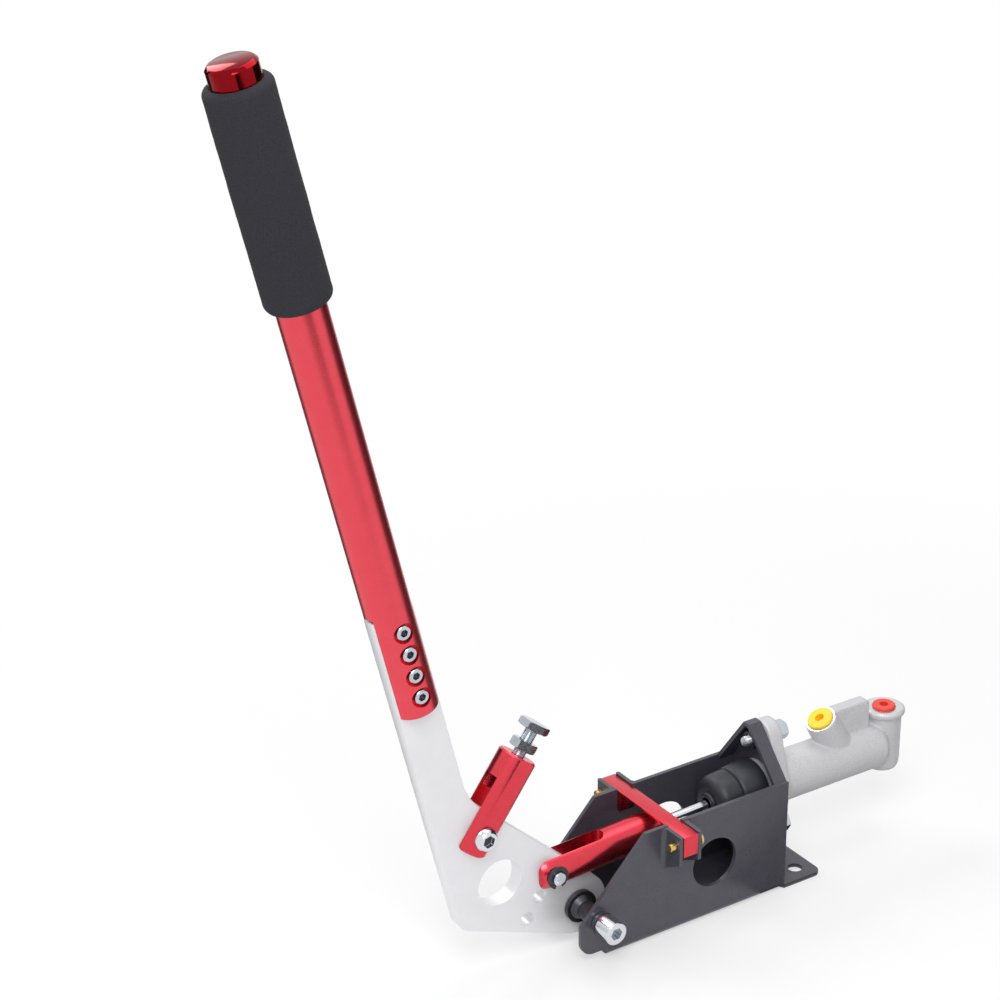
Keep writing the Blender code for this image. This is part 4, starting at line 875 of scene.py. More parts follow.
def handle_tube():
    """Handle bar, solid and slotted over the lever arm, and hollow above."""
    solid_end = TUBE_SLOT_END + TUBE_PLUG
    profile = [
        (TUBE_START, TUBE_RADIUS - EDGE),
        (TUBE_START + EDGE, TUBE_RADIUS),
        (TUBE_END, TUBE_RADIUS),
        (TUBE_END, TUBE_BORE),
        (solid_end, TUBE_BORE),
    ]
    bar = turned("handle_tube", profile, "Z")
    half_slot = FORK_SLOT / 2
    width = 2 * TUBE_RADIUS
    cut(bar, block("slot", (-width, -half_slot, TUBE_START - EDGE * 2), (width, half_slot, TUBE_SLOT_END)))
    for i in range(TUBE_SCREWS):
        centre = (0, 0, TUBE_SCREW_START + i * TUBE_SCREW_PITCH)
        drill(bar, TUBE_SCREW_RADIUS + GAP, "Y", centre, -width, width)
        drill(bar, TUBE_COUNTERBORE, "Y", centre, -width, -TUBE_SEAT)
    return bar


def end_cap():
    """Plug with a flat chamfered head in the open end of the handle."""
    start = TUBE_END + GAP
    end = TUBE_END + CAP_LENGTH
    stem = TUBE_BORE - GAP
    profile = [
        (TUBE_END - CAP_STEM, stem - EDGE),
        (TUBE_END - CAP_STEM + EDGE, stem),
        (start, stem),
        (start, TUBE_RADIUS),
        (end - CAP_CHAMFER, TUBE_RADIUS),
        (end - CAP_CHAMFER / 4, TUBE_RADIUS - CAP_CHAMFER * 0.64),
        (end, TUBE_RADIUS - CAP_CHAMFER * 1.12),
    ]
    return turned("end_cap", profile, "Z")


def lock_strut():
    """Round bar with two flats, forked over the lever plate and tapped at its far end for the lock bolt."""
    end = STRUT_LENGTH
    profile = [
        (-STRUT_TAIL, STRUT_RADIUS - 2 * STRUT_EDGE),
        (-STRUT_TAIL + STRUT_EDGE, STRUT_RADIUS - STRUT_EDGE * 0.6),
        (-STRUT_TAIL + 2 * STRUT_EDGE, STRUT_RADIUS),
        (end - STRUT_EDGE, STRUT_RADIUS),
        (end, STRUT_RADIUS - STRUT_EDGE),
    ]
    bar = turned("lock_strut", profile, "X")
    wide = 2 * STRUT_RADIUS
    for side in (-1, 1):
        near, far = sorted((side * STRUT_FLATS / 2, side * wide))
        cut(bar, block("flat", (-wide, near, -wide), (end + wide, far, wide)))
    half_slot = FORK_SLOT / 2
    cut(bar, block("fork", (-wide, -half_slot, -wide), (STRUT_SLOT_END, half_slot, wide)))
    drill(bar, STRUT_SCREW_RADIUS + GAP, "Y", (0, 0, 0), -wide, wide)
    drill(bar, LOCK_RADIUS + GAP, "X", (0, 0, 0), STRUT_SLOT_END - EDGE, end + EDGE)
    return bar


def clevis():
    """Round fork over the lever plate, bored for the push rod at its other end."""
    nose = [
        (-CLEVIS_NOSE, CLEVIS_RADIUS * 0.62),
        (-CLEVIS_NOSE * 0.88, CLEVIS_RADIUS * 0.82),
        (-CLEVIS_NOSE * 0.60, CLEVIS_RADIUS * 0.96),
        (-CLEVIS_NOSE * 0.30, CLEVIS_RADIUS),
    ]
    tail = [(CLEVIS_LENGTH - 2 * EDGE, CLEVIS_RADIUS), (CLEVIS_LENGTH, CLEVIS_RADIUS - 2 * EDGE)]
    fork = turned("clevis", nose + tail, "X")
    half_slot = FORK_SLOT / 2
    beyond = 2 * CLEVIS_RADIUS
    slot = rounded([
        (-beyond, -half_slot, 0),
        (CLEVIS_SLOT_END, -half_slot, half_slot * 0.999),
        (CLEVIS_SLOT_END, half_slot, half_slot * 0.999),
        (-beyond, half_slot, 0),
    ])
    cut(fork, prism("slot", slot, -beyond, beyond, "XYZ"))
    drill(fork, PIN_RADIUS + GAP, "Y", (0, 0, 0), -beyond, beyond)
    drill(fork, ROD_RADIUS + GAP, "X", (0, 0, 0), CLEVIS_LENGTH - ROD_THREAD - GAP, CLEVIS_LENGTH + EDGE)
    return fork


def clevis_pin():
    half = CLEVIS_RADIUS + PIN_OVERHANG
    profile = [
        (-half, PIN_RADIUS - EDGE),
        (-half + EDGE, PIN_RADIUS),
        (half - EDGE, PIN_RADIUS),
        (half, PIN_RADIUS - EDGE),
    ]
    return turned("clevis_pin", profile, "Y")


def open_clip(name, inner, outer, thick, axes, opening):
    """Spring clip: a flat ring with a gap at its foot."""
    start = -math.pi / 2 + opening
    end = 1.5 * math.pi - opening
    outline = arc((0, 0), outer, start, end) + arc((0, 0), inner, end, start)
    return prism(name, outline, -thick / 2, thick / 2, axes)


def outlet_frame():
    """Frame of the outlet: its origin in the middle of the boss's face, and Z out along the boss."""
    turn = Matrix.Rotation(-OUTLET_TILT, 4, "Y")
    return Matrix.Translation((OUTLET_CENTRE, 0, OUTLET_RISE)) @ turn


def port_profile(depth, cap):
    """Port from its mouth at 0, spot faced to take a cap, with a narrow passage down to the bore."""
    return [
        (EDGE, cap + GAP),
        (-SPOT_DEPTH, cap + GAP),
        (-SPOT_DEPTH, PORT_RADIUS),
        (-PORT_DEPTH, PORT_RADIUS),
        (-PORT_DEPTH - 0.002, PASSAGE_RADIUS),
        (-depth, PASSAGE_RADIUS),
    ]


def port_plug(name, cap):
    """Soft transport plug: a thin cap on a stem, with a round grip recess."""
    stem = PORT_RADIUS - GAP
    profile = [
        (-PLUG_STEM, stem - EDGE),
        (-PLUG_STEM + EDGE, stem),
        (GAP - SPOT_DEPTH, stem),
        (GAP - SPOT_DEPTH, cap),
        (PLUG_CAP - EDGE, cap),
        (PLUG_CAP, cap - EDGE),
        (PLUG_CAP, PLUG_RECESS),
        (-PLUG_STEM * 0.4, PLUG_RECESS - EDGE),
    ]
    return turned(name, profile, "Z", sides=16)


def boot():
    """Moulded boot from a hub on the push rod back to a bead that grips the cylinder's spigot."""
    bead = -SPIGOT_REACH + BOOT_GRIP
    seat = SPIGOT_RADIUS + GAP
    nose = -BOOT_NOSE
    hole = ROD_RADIUS + BOOT_ROD_ROOM
    crease = nose + BOOT_CREASE
    front = nose + BOOT_HUB_LENGTH
    turn = front + BOOT_EDGE_ROUND
    shoulder = arc((turn, BOOT_SHOULDER - BOOT_EDGE_ROUND), BOOT_EDGE_ROUND, math.pi, math.pi / 2)
    swell = (-SPIGOT_REACH - crease - 2 * BOOT_CREASE_HALF) / 2
    profile = [
        (nose, hole),
        (nose, BOOT_HUB - EDGE),
        (nose + EDGE, BOOT_HUB),
        (front, BOOT_HUB),
        *shoulder,
        (crease - 2 * BOOT_CREASE_HALF, BOOT_SHOULDER + EDGE / 2),
        (crease - BOOT_CREASE_HALF / 2, BOOT_SHOULDER + EDGE / 4),
        (crease, BOOT_SHOULDER - EDGE),
        (crease + BOOT_CREASE_HALF / 2, BOOT_SHOULDER + EDGE),
        (crease + 2 * BOOT_CREASE_HALF, BOOT_SHOULDER + 2 * EDGE),
        (crease + 2 * BOOT_CREASE_HALF + swell, BOOT_SHOULDER + 3 * EDGE),
        (-SPIGOT_REACH + 2 * EDGE, BOOT_RADIUS),
        (bead - EDGE, BOOT_RADIUS),
        (bead - EDGE / 3, BOOT_RADIUS - EDGE / 3),
        (bead, BOOT_RADIUS - EDGE),
        (bead, seat),
        (-SPIGOT_REACH - GAP, seat),
        (-SPIGOT_REACH - 0.002, BOOT_RADIUS - 0.003),
        (crease, BOOT_SHOULDER - 2 * BOOT_WALL),
        (nose + BOOT_ROUND * 0.92, BOOT_SHOULDER - 2.2 * BOOT_WALL),
        (nose + BOOT_ROUND / 2, BOOT_SHOULDER * 0.62),
        (nose + BOOT_ROUND * 0.42, hole),
    ]
    made = turned("boot", profile, "X", ring=True)
    rod_drop = math.tan(ROD_RISE) * (BALL_DEPTH + BOOT_NOSE)
    held = SPIGOT_REACH + BOOT_STRAIGHT
    for vert in made.data.vertices:
        share = min(1.0, max(0.0, (-vert.co.x - held) / (BOOT_NOSE - held)))
        vert.co.z -= rod_drop * share
    return made


def foam_grip():
    """Soft sleeve with rounded ends, slightly uneven as foam is when it has been pushed on."""
    inner = TUBE_RADIUS + GAP
    depth = min(GRIP_ROUND, (GRIP_RADIUS - inner) * 0.9)
    low = arc((GRIP_START + depth, GRIP_RADIUS - depth), depth, math.pi, math.pi / 2)
    high = arc((TUBE_END - depth, GRIP_RADIUS - depth), depth, math.pi / 2, 0)
    start, end = low[-1][0], high[0][0]
    middle = [(start + (end - start) * row / FOAM_ROWS, GRIP_RADIUS) for row in range(1, FOAM_ROWS)]
    profile = [(GRIP_START, inner)] + low + middle + high + [(TUBE_END, inner)]
    grip = turned("foam_grip", profile, "Z", ring=True, sides=FOAM_SIDES)
    for vert in grip.data.vertices:
        outward = Vector((vert.co.x, vert.co.y, 0))
        if outward.length > inner + EDGE:
            wave = noise.noise(vert.co / FOAM_WAVE_SIZE) + 0.4 * noise.noise(vert.co / (FOAM_WAVE_SIZE / 4))
            vert.co += outward.normalized() * FOAM_WAVE * (wave - 1)
    return grip


def lock_bolt():
    """Bolt screwed into the end of the strut, which sets how far its head stands out."""
    end = LOCK_HEAD_START + LOCK_HEAD_LENGTH
    return hex_solid("lock_bolt", LOCK_HEAD_FLATS, LOCK_HEAD_START, end, "X")


def push_rod():
    """Plain part of the rod, with its ball end."""
    start = CLEVIS_LENGTH + ROD_NUT_LENGTH + 3 * GAP
    neck = math.asin(ROD_RADIUS * 0.8 / BALL_RADIUS)
    ball = arc((ROD_LENGTH, 0), BALL_RADIUS, math.pi - neck, math.radians(4))
    profile = [(start, ROD_RADIUS - EDGE), (start + EDGE, ROD_RADIUS)]
    profile += [(ROD_LENGTH - BALL_RADIUS - 2 * EDGE, ROD_RADIUS)]
    return turned("push_rod", profile + ball, "X")


def flange_bolt(name):
    """Hexagonal head on its washer face."""
    start = FLANGE_THICK + GAP
    face_end = start + WASHER_FACE
    head = hex_solid(name, FLANGE_BOLT_FLATS, start + WASHER_FACE * 0.8, face_end + FLANGE_BOLT_HEAD, "X")
    washer = FLANGE_BOLT_FLATS * 0.6
    face = [
        (start, washer - EDGE / 2),
        (start + EDGE / 2, washer),
        (start + WASHER_FACE * 0.6, washer),
        (face_end, FLANGE_BOLT_FLATS * 0.45),
    ]
    join(head, turned("face", face, "X"))
    return head


def cast_blend(obj):
    """Melts joined shapes into one casting with rounded inside corners and a slightly wavy skin."""
    remesh = obj.modifiers.new("cast", "REMESH")
    remesh.mode = "VOXEL"
    remesh.voxel_size = CAST_VOXEL
    smooth = obj.modifiers.new("fillets", "SMOOTH")
    smooth.factor = CAST_FILLET
    smooth.iterations = CAST_PASSES
    apply_modifiers(obj)
    for vert in obj.data.vertices:
        vert.co += vert.normal * CAST_WAVE * noise.noise(vert.co / CAST_WAVE_SIZE)


def cylinder_body():
    """Cast body: lobed flange, barrel, tilted outlet boss, upright inlet column and the web between them."""
    root = FLANGE_THICK
    barrel = [
        (-SPIGOT_REACH, SPIGOT_RADIUS - EDGE),
        (-SPIGOT_REACH + EDGE, SPIGOT_RADIUS),
        (root, SPIGOT_RADIUS),
        (root + 0.0015, BARREL_RADIUS + 0.0004),
        (root + 0.004, BARREL_RADIUS),
        (BARREL_END - 0.005, BARREL_RADIUS),
        (BARREL_END - 0.0015, BARREL_RADIUS - 0.002),
        (BARREL_END, BARREL_RADIUS - 0.005),
    ]
    body = turned("cylinder_body", barrel, "X")
    upper, lower = [(y, z, FLANGE_LOBE) for y, z in BOLT_CIRCLE]
    centre = (0, 0, FLANGE_RADIUS)
    flange = prism("flange", belt([upper, centre, lower, centre]), GAP, FLANGE_THICK, "YZX")
    soften(flange, 2 * EDGE)
    rim_end = INLET_TOP + INLET_RIM
    column = [
        (-INLET_FOOT, INLET_RADIUS - 0.004),
        (-INLET_FOOT + 0.0012, INLET_RADIUS - 0.0014),
        (-INLET_FOOT + 0.004, INLET_RADIUS),
        (INLET_TOP, INLET_RADIUS),
        (INLET_TOP + EDGE, INLET_RIM_RADIUS),
        (rim_end - EDGE, INLET_RIM_RADIUS),
        (rim_end, INLET_RIM_RADIUS - EDGE),
    ]
    inlet = turned("inlet", column, "Z")
    inlet.data.transform(at(INLET_CENTRE, 0, 0))
    ribs = []
    half = COLUMN_RIB_WIDTH / 2
    low = (INLET_RADIUS - COLUMN_RIB_ROOT, -half, -INLET_FOOT + COLUMN_RIB_FOOT)
    high = (INLET_RADIUS + COLUMN_RIB_PROUD, half, INLET_TOP)
    for i in range(COLUMN_RIBS):
        angle = COLUMN_RIB_TURN * (i - (COLUMN_RIBS - 1) / 2)
        rib = block("rib", low, high)
        rib.data.transform(at(INLET_CENTRE, 0, 0) @ Matrix.Rotation(angle, 4, "Z"))
        ribs.append(rib)
    outlet_place = outlet_frame()
    depth = OUTLET_RISE / math.cos(OUTLET_TILT)
    boss = [(0, OUTLET_RADIUS - EDGE), (-EDGE, OUTLET_RADIUS), (-depth, OUTLET_RADIUS + OUTLET_FLARE)]
    outlet = turned("outlet", boss, "Z")
    outlet.data.transform(outlet_place)
    web = rounded([
        (WEB_START, 0, 0),
        (WEB_START + 0.004, WEB_TOP, 0.003),
        (WEB_END, WEB_TOP, 0.004),
        (WEB_END + 0.001, 0, 0),
    ])
    web_rib = prism("web", web, -WEB_THICK / 2, WEB_THICK / 2, "XZY")
    soften(web_rib, 2 * EDGE)
    join(body, flange, outlet, web_rib, inlet, *ribs)
    cast_blend(body)
    beyond = CUT_PAST
    cut(body, block("face", (-EDGE, -0.06, -0.06), (GAP, -SPIGOT_RADIUS - GAP, 0.06)))
    bore = [
        (-SPIGOT_REACH - beyond, MOUTH_RADIUS),
        (-MOUTH_END, MOUTH_RADIUS),
        (-MOUTH_END, BORE_RADIUS),
        (BORE_END, BORE_RADIUS),
        (BORE_END + 0.004, PASSAGE_RADIUS),
        (INLET_CENTRE + PASSAGE_RADIUS, PASSAGE_RADIUS),
    ]
    cut(body, turned("bore", bore, "X"))
    inlet_port = turned("inlet_port", port_profile(rim_end, INLET_PLUG_RADIUS), "Z")
    inlet_port.data.transform(at(INLET_CENTRE, 0, rim_end))
    outlet_port = turned("outlet_port", port_profile(depth, OUTLET_PLUG_RADIUS), "Z")
    outlet_port.data.transform(outlet_place)
    cut(body, inlet_port, outlet_port)
    for y, z in BOLT_CIRCLE:
        drill(body, FLANGE_BOLT_RADIUS + GAP, "X", (0, y, z), -SHEET, FLANGE_THICK + SHEET)
    return body


def port_face(name, cap, radius):
    """Machined ring round a port's spot face, just proud of the cast skin."""
    return tube(name, cap + GAP, radius, -0.0004, 0.00005, "Z", EDGE / 4)


def node(tree, kind, **inputs):
    """New node with some of its sockets set or linked."""
    made = tree.nodes.new("ShaderNode" + kind)
    for name, value in inputs.items():
        socket = made.inputs[name.replace("_", " ")]
        if isinstance(value, bpy.types.NodeSocket):
            tree.links.new(value, socket)
        else:
            socket.default_value = value
    return made


def grain(tree, size, stretch=(1, 1, 1), turn=0.0, detail=3.0):
    """Noise whose grains measure about size, drawn out along one axis by stretch and turned about Y."""
    place = node(tree, "TexCoord").outputs["Object"]
    turned_place = node(tree, "Mapping", Vector=place, Rotation=(0, turn, 0))
    stretched = node(tree, "Mapping", Vector=turned_place.outputs[0], Scale=stretch)
    return node(tree, "TexNoise", Vector=stretched.outputs[0], Scale=1 / size, Detail=detail).outputs["Fac"]


def between(tree, factor, low, high, start=0.3, end=0.7):
    """Value from low to high as factor goes from start to end."""
    made = node(tree, "MapRange", Value=factor, From_Min=start, From_Max=end, To_Min=low, To_Max=high)
    return made.outputs[0]


def two_tone(tree, factor, dark, light):
    ramp = tree.nodes.new("ShaderNodeValToRGB")
    tree.links.new(factor, ramp.inputs[0])
    for element, place, colour in zip(ramp.color_ramp.elements, (0.3, 0.7), (dark, light)):
        element.position = place
        element.color = (*srgb(*colour), 1)
    return ramp.outputs[0]


def finish(name, dark, light, metallic, rough, size, bump, stretch=(1, 1, 1), turn=0.0, mottle=0.01):
    """Material with a colour that drifts over mottle, and a grain of that size in gloss and relief."""
    made = bpy.data.materials.new(name)
    made.use_nodes = True
    tree = made.node_tree
    shader = tree.nodes["Principled BSDF"]
    shader.inputs["Metallic"].default_value = metallic
    fine = grain(tree, size, stretch, turn)
    tree.links.new(two_tone(tree, grain(tree, mottle), dark, light), shader.inputs["Base Color"])
    tree.links.new(between(tree, fine, *rough), shader.inputs["Roughness"])
    relief = node(tree, "Bump", Height=fine, Strength=1.0, Distance=bump)
    tree.links.new(relief.outputs[0], shader.inputs["Normal"])
    return made


# Finishes: two colours seen in the photograph, metallic share, roughness, grain, relief, stretch, turn and
# mottle
EVEN = (1, 1, 1)
ALONG_ARM = (1, 1, 0.02)
ROUND_BAR = (0.05, 0.05, 1)
LOOKS = {
    "red_anodised": ((216, 66, 78), (220, 70, 82), 0.95, (0.22, 0.30), 0.0004, 0.000003),
    # End cap: polished red, its colour darkened as painted dark reflection on its face
    "red_polished_painted_reflection": ((132, 17, 24), (136, 19, 27), 1.0, (0.08, 0.13), 0.0004, 0.000002),
    "red_tube": ((230, 80, 92), (233, 83, 95), 0.95, (0.27, 0.36), 0.0003, 0.000004, ROUND_BAR, LEAN),
    "brushed_aluminium": (
        (233, 233, 236), (236, 236, 239), 0.5, (0.40, 0.52), 0.0003, 0.000006, ALONG_ARM, LEAN
    ),
    "black_coating": ((69, 68, 77), (74, 73, 82), 0.0, (0.26, 0.36), 0.0009, 0.000010),
    "cast_aluminium": (
        (192, 191, 194), (210, 209, 212), 0.25, (0.52, 0.70), 0.0005, 0.00004, EVEN, 0.0, 0.0009
    ),
    "machined": ((214, 215, 218), (222, 223, 226), 0.9, (0.20, 0.30), 0.0004, 0.000005),
    "black_foam": ((31, 31, 38), (42, 42, 50), 0.0, (0.88, 0.98), 0.0005, 0.00022, EVEN, 0.0, 0.0009),
    "black_rubber": ((31, 32, 40), (37, 38, 46), 0.0, (0.42, 0.55), 0.0012, 0.00002),
    "bright_steel": ((214, 216, 222), (220, 222, 227), 1.0, (0.08, 0.15), 0.0005, 0.000003),
    "zinc_steel": ((188, 194, 204), (202, 206, 212), 1.0, (0.16, 0.26), 0.0006, 0.000005),
    "dark_steel": ((60, 60, 65), (70, 70, 76), 0.7, (0.30, 0.42), 0.0005, 0.000005),
    "yellow_zinc": ((214, 168, 84), (226, 196, 130), 1.0, (0.2, 0.3), 0.0005, 0.000005),
    "yellow_plastic": ((248, 204, 22), (255, 214, 36), 0.0, (0.34, 0.42), 0.001, 0.000006),
    "orange_plastic": ((226, 64, 50), (238, 76, 62), 0.0, (0.34, 0.42), 0.001, 0.000006),
}
FINISHES = {name: finish(name, *look) for name, look in LOOKS.items()}


def show(obj, body, slot, place=None, node_name=None, look=None, sharp=32):
    """Puts a finished piece where it belongs, on its body, in its finish, in place of its CAD node."""
    if place is not None:
        obj.data.transform(place)
    obj.data.materials.clear()
    obj.data.materials.append(FINISHES[look or slot])
    obj.data.shade_smooth()
    obj.data.set_sharp_from_angle(angle=math.radians(sharp))
    if node_name:
        obj.name = node_name + "_shown"
        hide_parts(node_name)
    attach(obj, body)
    return obj


def show_base():
    show(base_channel(), "base", "black_coating", node_name="base_channel")
    show(crossbar(), "base", "red_anodised", node_name="crossbar")
    for name, side in (("crossbar_bolt_near", -1), ("crossbar_bolt_far", 1)):
        behind = at(BAR_BACK + SHEET + 2 * GAP, side * BAR_BOLT_Y, BAR_BOLT_Z)
        show(crossbar_bolt(name), "base", "bright_steel", behind, name, "yellow_zinc")
    pivot = Matrix.Translation(PIVOT)
    for name, side in (("pivot_spacer_near", -1), ("pivot_spacer_far", 1)):
        show(pivot_spacer(name, side), "base", "dark_steel", pivot, name)
    near = HALF_WIDTH + GAP
    bore = PIVOT_BOLT_RADIUS + GAP
    collar_end = near + PIVOT_COLLAR_LENGTH
    collar = tube("collar", bore, PIVOT_COLLAR_RADIUS, -collar_end, -near, "Y", EDGE)
    show(collar, "base", "zinc_steel", pivot, "pivot_collar")
    ring_end = collar_end + GAP + PIVOT_RING_LENGTH
    ring = tube("ring", bore, PIVOT_HEAD_RADIUS, -ring_end, -collar_end - GAP, "Y", EDGE)
    show(ring, "base", "dark_steel", pivot, "pivot_lock_ring")
    head = ring_end + GAP
    reach = head + near + PIVOT_NUT_LENGTH + PIVOT_TAIL
    bolt = socket_screw("pivot_bolt", PIVOT_HEAD_RADIUS, PIVOT_HEAD_LENGTH, PIVOT_BOLT_RADIUS, reach, "Y")
    show(bolt, "base", "bright_steel", pivot @ at(0, -head, 0), "pivot_bolt")
    far_nut = nut("pivot_nut", PIVOT_NUT_FLATS, PIVOT_NUT_LENGTH, PIVOT_BOLT_RADIUS, "Y")
    show(far_nut, "base", "zinc_steel", pivot @ at(0, near, 0), "pivot_nut")


def show_cylinder():
    show(cylinder_body(), "base", "cast_aluminium", CYLINDER, "cylinder_body", sharp=48)
    outlet = CYLINDER @ outlet_frame()
    inlet = CYLINDER @ at(INLET_CENTRE, 0, INLET_TOP + INLET_RIM)
    for name, cap, radius, place in (
        ("outlet_face", OUTLET_PLUG_RADIUS, OUTLET_RADIUS - EDGE, outlet),
        ("inlet_face", INLET_PLUG_RADIUS, INLET_RIM_RADIUS - 3 * EDGE, inlet),
    ):
        show(port_face(name, cap, radius), "base", "cast_aluminium", place, look="machined")
    show(port_plug("outlet_plug", OUTLET_PLUG_RADIUS), "base", "yellow_plastic", outlet, "outlet_plug")
    show(port_plug("inlet_plug", INLET_PLUG_RADIUS), "base", "orange_plastic", inlet, "inlet_plug")
    for name, (y, z) in zip(("upper", "lower"), BOLT_CIRCLE):
        place = CYLINDER @ at(0, y, z)
        show(flange_bolt("flange_bolt_" + name), "base", "zinc_steel", place, "flange_bolt_" + name)
        ends = (-FLANGE_BOLT_TAIL, FLANGE_THICK + 2 * GAP)
        thread = threaded("flange_thread_" + name, FLANGE_BOLT_RADIUS, *ends, "X", FINE_PITCH)
        show(thread, "base", "zinc_steel", place, sharp=60)
        lock = nut(
            "flange_nut", FLANGE_BOLT_FLATS, FLANGE_NUT_LENGTH, FLANGE_BOLT_RADIUS, "X", NEAR_LIP_SLOPE
        )
        behind = place @ at(-SHEET - GAP - FLANGE_NUT_LENGTH, 0, 0)
        show(lock, "base", "dark_steel", behind, "flange_nut_" + name)


def show_boot():
    """Rubber boot with its hub on the push rod and its bead on the cylinder, baked in place on no body."""
    made = boot()
    made.data.transform(CYLINDER)
    made.name = "boot_shown"
    made.data.materials.append(FINISHES["black_rubber"])
    made.data.shade_smooth()
    made.data.set_sharp_from_angle(angle=math.radians(50))
    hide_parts("boot")
    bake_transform(made)


def show_lever():
    show(lever_plate(), "lever", "brushed_aluminium", LEVER, "lever_plate")
    show(handle_tube(), "lever", "red_anodised", ARM, "handle_tube", "red_tube")
    # The end cap's darker red is painted dark reflection on its polished face
    show(end_cap(), "lever", "red_anodised", ARM, "end_cap", "red_polished_painted_reflection")
    grip = show(foam_grip(), "lever", "black_foam", ARM, "foam_grip")
    for i in range(TUBE_SCREWS):
        length = TUBE_SEAT + TUBE_RADIUS * 0.85
        screw = socket_screw(
            "tube_screw", TUBE_SCREW_HEAD, TUBE_SCREW_HEAD_LENGTH, TUBE_SCREW_RADIUS, length, "Y"
        )
        place = ARM @ at(0, -TUBE_SEAT - GAP, TUBE_SCREW_START + i * TUBE_SCREW_PITCH)
        show(screw, "lever", "zinc_steel", place, f"tube_screw_{i + 1}")
        # Dark disc of painted shade inside the screw's key recess
        show(painted_key_shade(TUBE_SCREW_HEAD, TUBE_SCREW_HEAD_LENGTH, "Y"), "lever", "dark_steel", place)
    flat = STRUT_FLATS / 2 + GAP
    length = 2 * flat + STRUT_NUT_LENGTH + 0.002
    dome = STRUT_HEAD_LENGTH * 0.5
    screw = socket_screw(
        "strut_screw", STRUT_HEAD_RADIUS, STRUT_HEAD_LENGTH, STRUT_SCREW_RADIUS, length, "Y", dome
    )
    place = LEVER @ at(STRUT_SCREW[0], -flat, STRUT_SCREW[1])
    show(screw, "lever", "bright_steel", place, "strut_screw")
    # Dark disc of painted shade inside the strut screw's key recess
    show(painted_key_shade(STRUT_HEAD_RADIUS, STRUT_HEAD_LENGTH, "Y"), "lever", "dark_steel", place)
    holder = nut("strut_nut", STRUT_NUT_FLATS, STRUT_NUT_LENGTH, STRUT_SCREW_RADIUS, "Y")
    show(holder, "lever", "zinc_steel", LEVER @ at(STRUT_SCREW[0], flat, STRUT_SCREW[1]), "strut_nut")


def show_lock():
    show(lock_strut(), "strut", "red_anodised", STRUT, "lock_strut")
    show(lock_bolt(), "lock", "zinc_steel", STRUT, "lock_bolt")
    thread = threaded("lock_thread", LOCK_RADIUS, LOCK_START, LOCK_HEAD_START + 2 * EDGE, "X", FINE_PITCH)
    show(thread, "lock", "zinc_steel", STRUT, sharp=60)
    jam = nut("lock_nut", LOCK_NUT_FLATS, LOCK_NUT_LENGTH, LOCK_RADIUS, "X")
    show(jam, "lock", "zinc_steel", STRUT @ at(LOCK_NUT_START, 0, 0), "lock_nut")


def show_link():
    show(clevis(), "link", "red_anodised", LINK, "clevis")
    show(clevis_pin(), "link", "zinc_steel", LINK, "clevis_pin")
    for name, side in (("e_clip_near", -1), ("e_clip_far", 1)):
        clip = open_clip(name, PIN_RADIUS + GAP, CLIP_RADIUS, CLIP_THICK, "XZY", math.radians(20))
        show(clip, "link", "dark_steel", LINK @ at(0, side * (CLEVIS_RADIUS + GAP + CLIP_THICK / 2), 0), name)
    show(push_rod(), "link", "bright_steel", LINK, "push_rod")
    thread_end = CLEVIS_LENGTH + ROD_NUT_LENGTH + 5 * GAP
    thread = threaded("rod_thread", ROD_RADIUS, CLEVIS_LENGTH - ROD_THREAD, thread_end, "X", FINE_PITCH)
    show(thread, "link", "bright_steel", LINK, sharp=60)
    jam = nut("rod_nut", ROD_NUT_FLATS, ROD_NUT_LENGTH, ROD_RADIUS, "X")
    show(jam, "link", "zinc_steel", LINK @ at(CLEVIS_LENGTH + GAP, 0, 0), "rod_nut")


def dress_hidden_nodes():
    """Finishes for the CAD pieces that stay as they are, inside the cylinder and the pivot."""
    for name, slot in (
        ("piston", "zinc_steel"),
        ("primary_seal", "black_rubber"),
        ("secondary_seal", "black_rubber"),
        ("return_spring", "zinc_steel"),
        ("stop_washer", "zinc_steel"),
        ("circlip", "dark_steel"),
        ("pivot_bush", "zinc_steel"),
    ):
        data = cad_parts[name].data
        data.materials.clear()
        data.materials.append(FINISHES[slot])


def whitened(tree, shader_output, strength, share):
    """The shader, mixed by that share with plain white for what the camera, metal and glass see."""
    rays = node(tree, "LightPath")
    seen = node(tree, "Math", Value=rays.outputs["Is Camera Ray"])
    seen.operation = "MAXIMUM"
    tree.links.new(rays.outputs["Is Glossy Ray"], seen.inputs[1])
    through = node(tree, "Math", Value=seen.outputs[0])
    through.operation = "MAXIMUM"
    tree.links.new(rays.outputs["Is Transmission Ray"], through.inputs[1])
    scaled = node(tree, "Math", Value=through.outputs[0])
    scaled.operation = "MULTIPLY"
    if isinstance(share, bpy.types.NodeSocket):
        tree.links.new(share, scaled.inputs[1])
    else:
        scaled.inputs[1].default_value = share
    white = node(tree, "Emission", Color=(1, 1, 1, 1), Strength=strength)
    mixed = tree.nodes.new("ShaderNodeMixShader")
    tree.links.new(scaled.outputs[0], mixed.inputs[0])
    tree.links.new(shader_output, mixed.inputs[1])
    tree.links.new(white.outputs[0], mixed.inputs[2])
    return mixed.outputs[0]


def matt(name, colour):
    """Plain dull material."""
    made = bpy.data.materials.new(name)
    made.use_nodes = True
    shader = made.node_tree.nodes["Principled BSDF"]
    shader.inputs["Base Color"].default_value = colour
    shader.inputs["Roughness"].default_value = 0.9
    return made


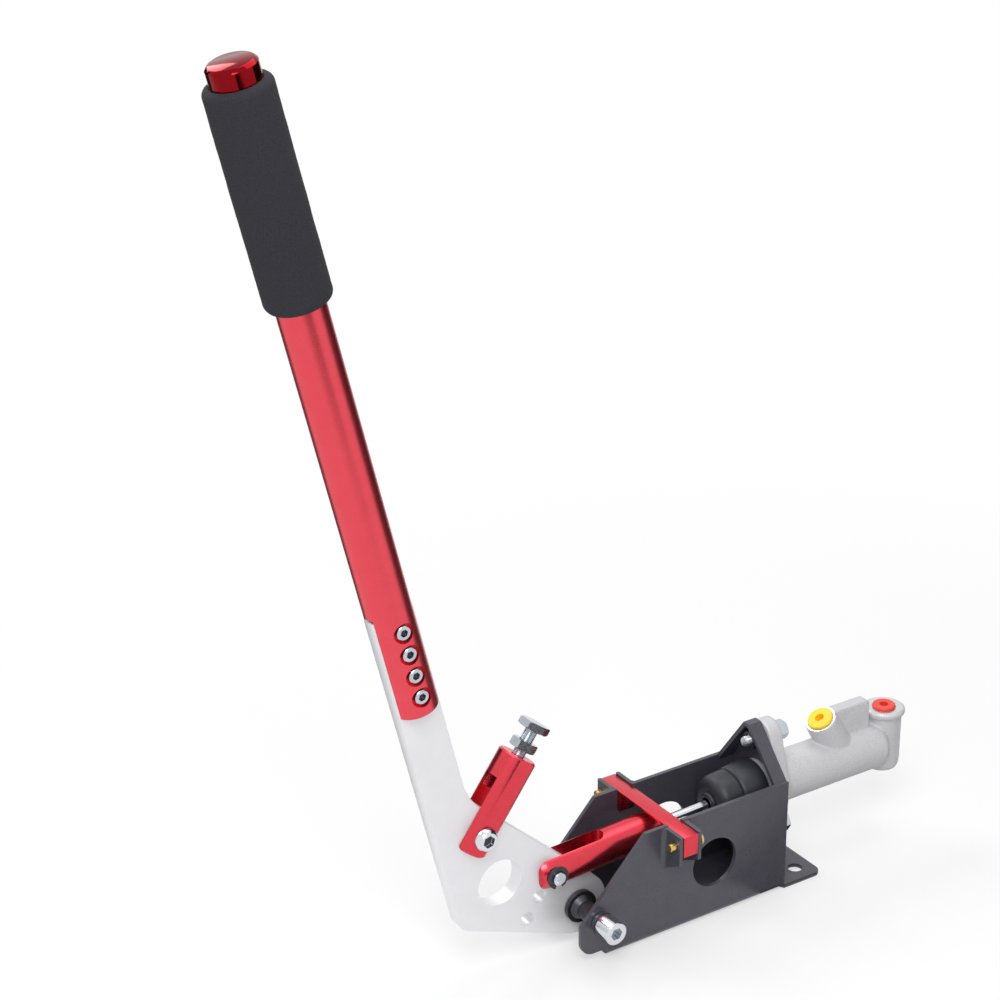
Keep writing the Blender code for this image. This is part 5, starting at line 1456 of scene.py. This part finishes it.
def dark_card(name, start, end, profile):
    """Dark card round the lever's pivot, seen in reflections only, for the metal's dark edges and stripes."""
    bm = bmesh.new()
    rows = []
    for i in range(CARD_STEPS + 1):
        angle = math.radians(start + (end - start) * i / CARD_STEPS)
        out = Vector((math.cos(angle), math.sin(angle), 0))
        points = [Vector((PIVOT.x, 0, height)) + out * distance for distance, height in profile]
        rows.append([bm.verts.new(point) for point in points])
    for low, high in zip(rows, rows[1:]):
        for i in range(len(profile) - 1):
            bm.faces.new((low[i], low[i + 1], high[i + 1], high[i]))
    made = new_object(name, bm)
    made.data.materials.append(matt(name, CARD_COLOUR))
    made.visible_camera = False
    made.visible_diffuse = False
    made.visible_shadow = False


def studio():
    """Pale floor, white surroundings, three dark cards and soft lamps."""
    bm = bmesh.new()
    half = FLOOR_HALF
    corners = [bm.verts.new((x * half, y * half, -GAP)) for x, y in ((-1, -1), (1, -1), (1, 1), (-1, 1))]
    bm.faces.new(corners)
    floor = new_object("floor", bm)
    made = matt("floor", FLOOR_COLOUR)
    tree = made.node_tree
    shader = tree.nodes["Principled BSDF"]
    shader.inputs["Specular IOR Level"].default_value = 0.1
    place = node(tree, "TexCoord").outputs["Object"]
    away = node(tree, "VectorMath", Vector=place)
    away.operation = "LENGTH"
    share = between(tree, away.outputs["Value"], FLOOR_SHARE, 1.0, *SHADOW_FADE)
    surface = whitened(tree, shader.outputs[0], 1.0, share)
    tree.links.new(surface, tree.nodes["Material Output"].inputs["Surface"])
    floor.data.materials.append(made)
    dark_card("card_right", *CARD_RIGHT, CARD_BACK)
    dark_card("card_left", *CARD_LEFT, CARD_BACK)
    dark_card("card_front", *CARD_FRONT, CARD_LOW)
    world = bpy.data.worlds.new("studio")
    bpy.context.scene.world = world
    world.use_nodes = True
    tree = world.node_tree
    dim = tree.nodes["Background"]
    dim.inputs["Color"].default_value = (1, 1, 1, 1)
    dim.inputs["Strength"].default_value = WORLD_STRENGTH
    surface = whitened(tree, dim.outputs[0], 1.0, 1.0)
    tree.links.new(surface, tree.nodes["World Output"].inputs["Surface"])
    for name, place, size, power in LAMPS:
        lamp = bpy.data.lights.new(name, "AREA")
        lamp.energy = power
        lamp.size = size
        holder = bpy.data.objects.new(name, lamp)
        bpy.context.scene.collection.objects.link(holder)
        holder.location = place
        holder.rotation_euler = (LAMP_TARGET - Vector(place)).to_track_quat("-Z", "Y").to_euler()


def camera():
    dip, turn = math.cos(CAMERA_DIP), CAMERA_TURN
    forward = Vector((math.sin(turn) * dip, math.cos(turn) * dip, -math.sin(CAMERA_DIP)))
    right = forward.cross(Vector((0, 0, 1))).normalized()
    up = right.cross(forward)
    facing = Matrix((right, up, -forward)).transposed() @ Matrix.Rotation(CAMERA_ROLL, 3, "Z")
    data = bpy.data.cameras.new("camera")
    data.lens = CAMERA_LENS
    data.sensor_width = 36
    holder = bpy.data.objects.new("camera", data)
    bpy.context.scene.collection.objects.link(holder)
    holder.matrix_world = Matrix.Translation(CAMERA_PLACE) @ facing.to_4x4()
    bpy.context.scene.camera = holder


bpy.context.scene.view_settings.view_transform = "Standard"
camera()
studio()
show_base()
show_cylinder()
show_boot()
show_lever()
show_lock()
show_link()
dress_hidden_nodes()
